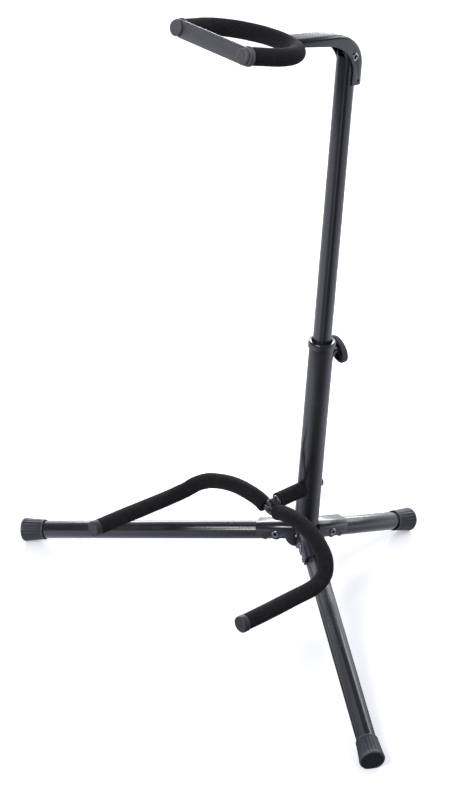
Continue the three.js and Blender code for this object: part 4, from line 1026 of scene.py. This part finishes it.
for face in holder.data.polygons:
    middle = face.center / MM
    at_end = middle.y < TAIL_END + 0.1 or middle.x > MOUTH_REACH - 0.01
    faces_in = abs(face.normal.z) < 0.5 and (face.normal.y < -0.1 or face.normal.x > 0.1)
    face.select = at_end or (faces_in and middle.x > 0)
bpy.ops.object.mode_set(mode="EDIT")
bpy.ops.mesh.delete(type="FACE")
bpy.ops.mesh.select_mode(type="EDGE")
bpy.ops.object.mode_set(mode="OBJECT")
webs = [face for face in holder.data.polygons if abs(face.normal.z) < 0.5]
web_edges = {tuple(sorted(key)) for face in webs for key in face.edge_keys}
for edge in holder.data.edges:
    ends = [holder.data.vertices[v].co / MM for v in edge.vertices]
    edge.select = tuple(sorted(edge.vertices)) in web_edges and ends[0].z * ends[1].z > 0
bpy.ops.object.mode_set(mode="EDIT")
bpy.ops.mesh.bevel(offset=NECK_SHOULDER * MM, segments=8, affect="EDGES", clamp_overlap=True)
bpy.ops.mesh.select_mode(type="VERT")
bpy.ops.object.mode_set(mode="OBJECT")
apply_modifier(holder, "SOLIDIFY", thickness=SHEET * MM, offset=-1, use_even_offset=True)
drill(holder, Matrix())
drill(holder, Matrix.Translation((NECK_CATCH[0] * MM, NECK_CATCH[1] * MM, 0)), NECK_CATCH_HOLE, sides=32)
ease_edges(holder, 0.35)
fit(holder, BRACKET, "neck_holder", enamel, "neck_bracket")


# Neck yoke: the same rod bent to a U whose arms lean in and straighten at their tips, welded to a
# flat tang that is clinched in the bracket. Here z runs forward along its arms and y runs up.
NECK_YOKE_REACH = 85.5
NECK_YOKE_RISE = 27
NECK_YOKE_TILT = math.radians(80.5)
NECK_YOKE_SPOT = Matrix.Translation((0, -NECK_YOKE_REACH * MM, NECK_YOKE_RISE * MM))
NECK_YOKE = NECK @ NECK_YOKE_SPOT @ Matrix.Rotation(NECK_YOKE_TILT, 4, "X")
BEND_RADIUS = 50
TOE = math.radians(10)
ARM_SLOPE = 18.9
EASE_RADIUS = 24
ARM_TIP = 4.6
NECK_HALF_WIDTH = BEND_RADIUS * math.cos(TOE) - ARM_SLOPE * math.sin(TOE) - EASE_RADIUS * (1 - math.cos(TOE))
ARM_END = BEND_RADIUS + (BEND_RADIUS + EASE_RADIUS) * math.sin(TOE) + ARM_SLOPE * math.cos(TOE) + ARM_TIP
EASE_STEPS = 6
SLOPE_STEPS = 9
TANG_HALF = 7
TANG_THIN = 2.2
TANG_LENGTH = 23.2


def bent_round(name, radius, side, start, seam, steps):
    """Round stock from a tip of the U, so far short of its end, round to a seam at its middle."""
    bpy.ops.object.select_all(action="DESELECT")
    bpy.ops.mesh.primitive_circle_add(vertices=40, radius=radius * MM)
    piece = bpy.context.object
    piece.name = piece.data.name = name
    bpy.ops.object.mode_set(mode="EDIT")
    bpy.ops.mesh.select_all(action="SELECT")
    bpy.ops.transform.translate(value=(side * NECK_HALF_WIDTH * MM, 0, (ARM_END - start) * MM))
    bpy.ops.mesh.extrude_region_move(TRANSFORM_OT_translate={"value": (0, 0, (start - ARM_TIP) * MM)})
    outside = (side * (NECK_HALF_WIDTH + EASE_RADIUS) * MM, 0, (ARM_END - ARM_TIP) * MM)
    bpy.ops.mesh.spin(steps=EASE_STEPS, angle=side * TOE, center=outside, axis=(0, 1, 0))
    stride = Vector((side * math.sin(TOE), 0, -math.cos(TOE))) * (ARM_SLOPE / SLOPE_STEPS * MM)
    for _ in range(SLOPE_STEPS):
        bpy.ops.mesh.extrude_region_move(TRANSFORM_OT_translate={"value": stride})
    sweep = math.pi / 2 + TOE - seam / BEND_RADIUS
    bpy.ops.mesh.spin(steps=steps, angle=-side * sweep, center=(0, 0, BEND_RADIUS * MM), axis=(0, 1, 0))
    bpy.ops.mesh.select_all(action="SELECT")
    bpy.ops.mesh.remove_doubles(threshold=0.002 * MM)
    put_in_order()
    bpy.ops.object.mode_set(mode="OBJECT")
    return piece


neck_rod = bent_round("neck_rod_steel", ROD_RADIUS, 1, 0, 0, 36)
apply_modifier(neck_rod, "MIRROR", merge_threshold=0.005 * MM)
bpy.ops.object.mode_set(mode="EDIT")
close_up()
bpy.ops.object.mode_set(mode="OBJECT")
carve(neck_rod, block((-TANG_HALF, -TANG_THIN, -TANG_LENGTH), (TANG_HALF, TANG_THIN, 0)), "UNION")
ease_edges(neck_rod, 0.4, 3, 40)
fit(neck_rod, NECK_YOKE, "neck_holder", enamel, "neck_rod")


# Neck foam: a sleeve of foam on each side of the U. They meet in a fine seam at the tang,
# and each is notched there to let it through.
NECK_FOAM_RADIUS = 8.4
FLANGE_BACK = 2.4
HALF_SEAM = 0.2
NOTCH_HALF = TANG_HALF + 0.8
NOTCH_THIN = TANG_THIN + 0.8
NOTCH_DEPTH = 12

for side, name in ((-1, "left"), (1, "right")):
    sleeve = bent_round("neck_sleeve_" + name, NECK_FOAM_RADIUS, side, FLANGE_BACK, HALF_SEAM, 34)
    apply_modifier(sleeve, "SOLIDIFY", thickness=(NECK_FOAM_RADIUS - FOAM_BORE) * MM, offset=-1)
    carve(sleeve, block((-NOTCH_HALF, -NOTCH_THIN, -NOTCH_DEPTH), (NOTCH_HALF, NOTCH_THIN, 0)))
    soften(sleeve, NECK_YOKE, "neck_holder", "neck_foam_" + name)


# Neck flanges and buttons: a grey plastic disc stops the foam at each arm's end, and a button
# in front of it holds the strap.
for side, name in SIDES:
    spot = NECK_YOKE @ Matrix.Translation((side * NECK_HALF_WIDTH * MM, 0, ARM_END * MM))
    flange = turn_on_lathe("arm_flange_" + name, [
        (4.3, -2.1), (9.1, -2.1), (9.3, -1.9), (9.3, -0.4), (8.9, 0.1), (8.4, 0.3), (4.3, 0.3), (4.3, -2.1),
    ], 64)
    ease_edges(flange, 0.15)
    fit(flange, spot, "neck_holder", cap_grey, "neck_flange_" + name)
    button = turn_on_lathe("strap_button_" + name, [
        (3, 0.3), (3, 3.9), (7.4, 3.9), (7.6, 4.1), (7.6, 6.2), (7.35, 6.8), (6.8, 7.2), (5.8, 7.3),
        (1.2, 7.3),
    ], 64)
    ease_edges(button, 0.15)
    fit(button, spot, "neck_holder", cap_grey, "neck_button_" + name)


# Safety strap: a stiff bar of grey rubber across the mouth of the neck yoke. It swings on the
# right button and drops over the left one by a slot that is open below.
STRAP_MIDDLE = 2.1
STRAP_SEAT = NECK_YOKE @ Matrix.Translation((NECK_HALF_WIDTH * MM, 0, (ARM_END + STRAP_MIDDLE) * MM))
STRAP_HALF = 8.2
STRAP_END = 8.2
STRAP_CORNER = 7.4
STRAP_THICKNESS = 3
BUTTON_HOLE = 3.4
SLOT_HALF = 3.8
LEFT_BUTTON = -2 * NECK_HALF_WIDTH
STRAP_DARK = (0.06, 0.061, 0.067, 1)
STRAP_LIGHT = (0.082, 0.083, 0.09, 1)
# Painted highlight: the colour of the strap's edges.
PAINTED_STRAP_HIGHLIGHT = (0.3, 0.3, 0.32, 1)

strap_rubber, tree, shader, place = new_finish("smooth_grey_rubber")
shader.inputs["Specular IOR Level"].default_value = 0.5
moulding_and_painted_highlight = blended(tree, patchy(tree, place, 70, 5, 0, 1, 0.6), STRAP_DARK, STRAP_LIGHT)
# Painted highlight: the edges are lightened by how pointed they are.
moulding_and_painted_highlight = blended(tree, pointed(tree, 0.52, 0.6, 0, 0.6), moulding_and_painted_highlight, PAINTED_STRAP_HIGHLIGHT)
dress(tree, shader, moulding_and_painted_highlight, patchy(tree, place, 300, 4, 0.4, 0.55))
raised(tree, shader, grain(tree, place, 1300, 3, 0.6), 0.05, 0.5)

bpy.ops.object.select_all(action="DESELECT")
bpy.ops.mesh.primitive_plane_add(size=1)
strap = bpy.context.object
strap.name = strap.data.name = "strap_bar"
bpy.ops.object.mode_set(mode="EDIT")
bpy.ops.mesh.select_all(action="SELECT")
length = 2 * NECK_HALF_WIDTH + 2 * STRAP_END
bpy.ops.transform.resize(value=(length * MM, 2 * STRAP_HALF * MM, 1), center_override=(0, 0, 0))
bpy.ops.transform.translate(value=(-NECK_HALF_WIDTH * MM, 0, -STRAP_THICKNESS / 2 * MM))
bpy.ops.mesh.bevel(offset=STRAP_CORNER * MM, segments=10, affect="VERTICES")
bpy.ops.mesh.select_all(action="SELECT")
bpy.ops.mesh.extrude_region_move(TRANSFORM_OT_translate={"value": (0, 0, STRAP_THICKNESS * MM)})
close_up()
bpy.ops.object.mode_set(mode="OBJECT")
drill(strap, Matrix(), BUTTON_HOLE, 5)
drill(strap, Matrix.Translation((LEFT_BUTTON * MM, 0, 0)), BUTTON_HOLE, 5)
carve(strap, block((LEFT_BUTTON - SLOT_HALF, -14, -5), (LEFT_BUTTON + SLOT_HALF, 0, 5)))
ease_edges(strap, 0.55, 3)
fit(strap, STRAP_SEAT, "strap", strap_rubber, "neck_strap")
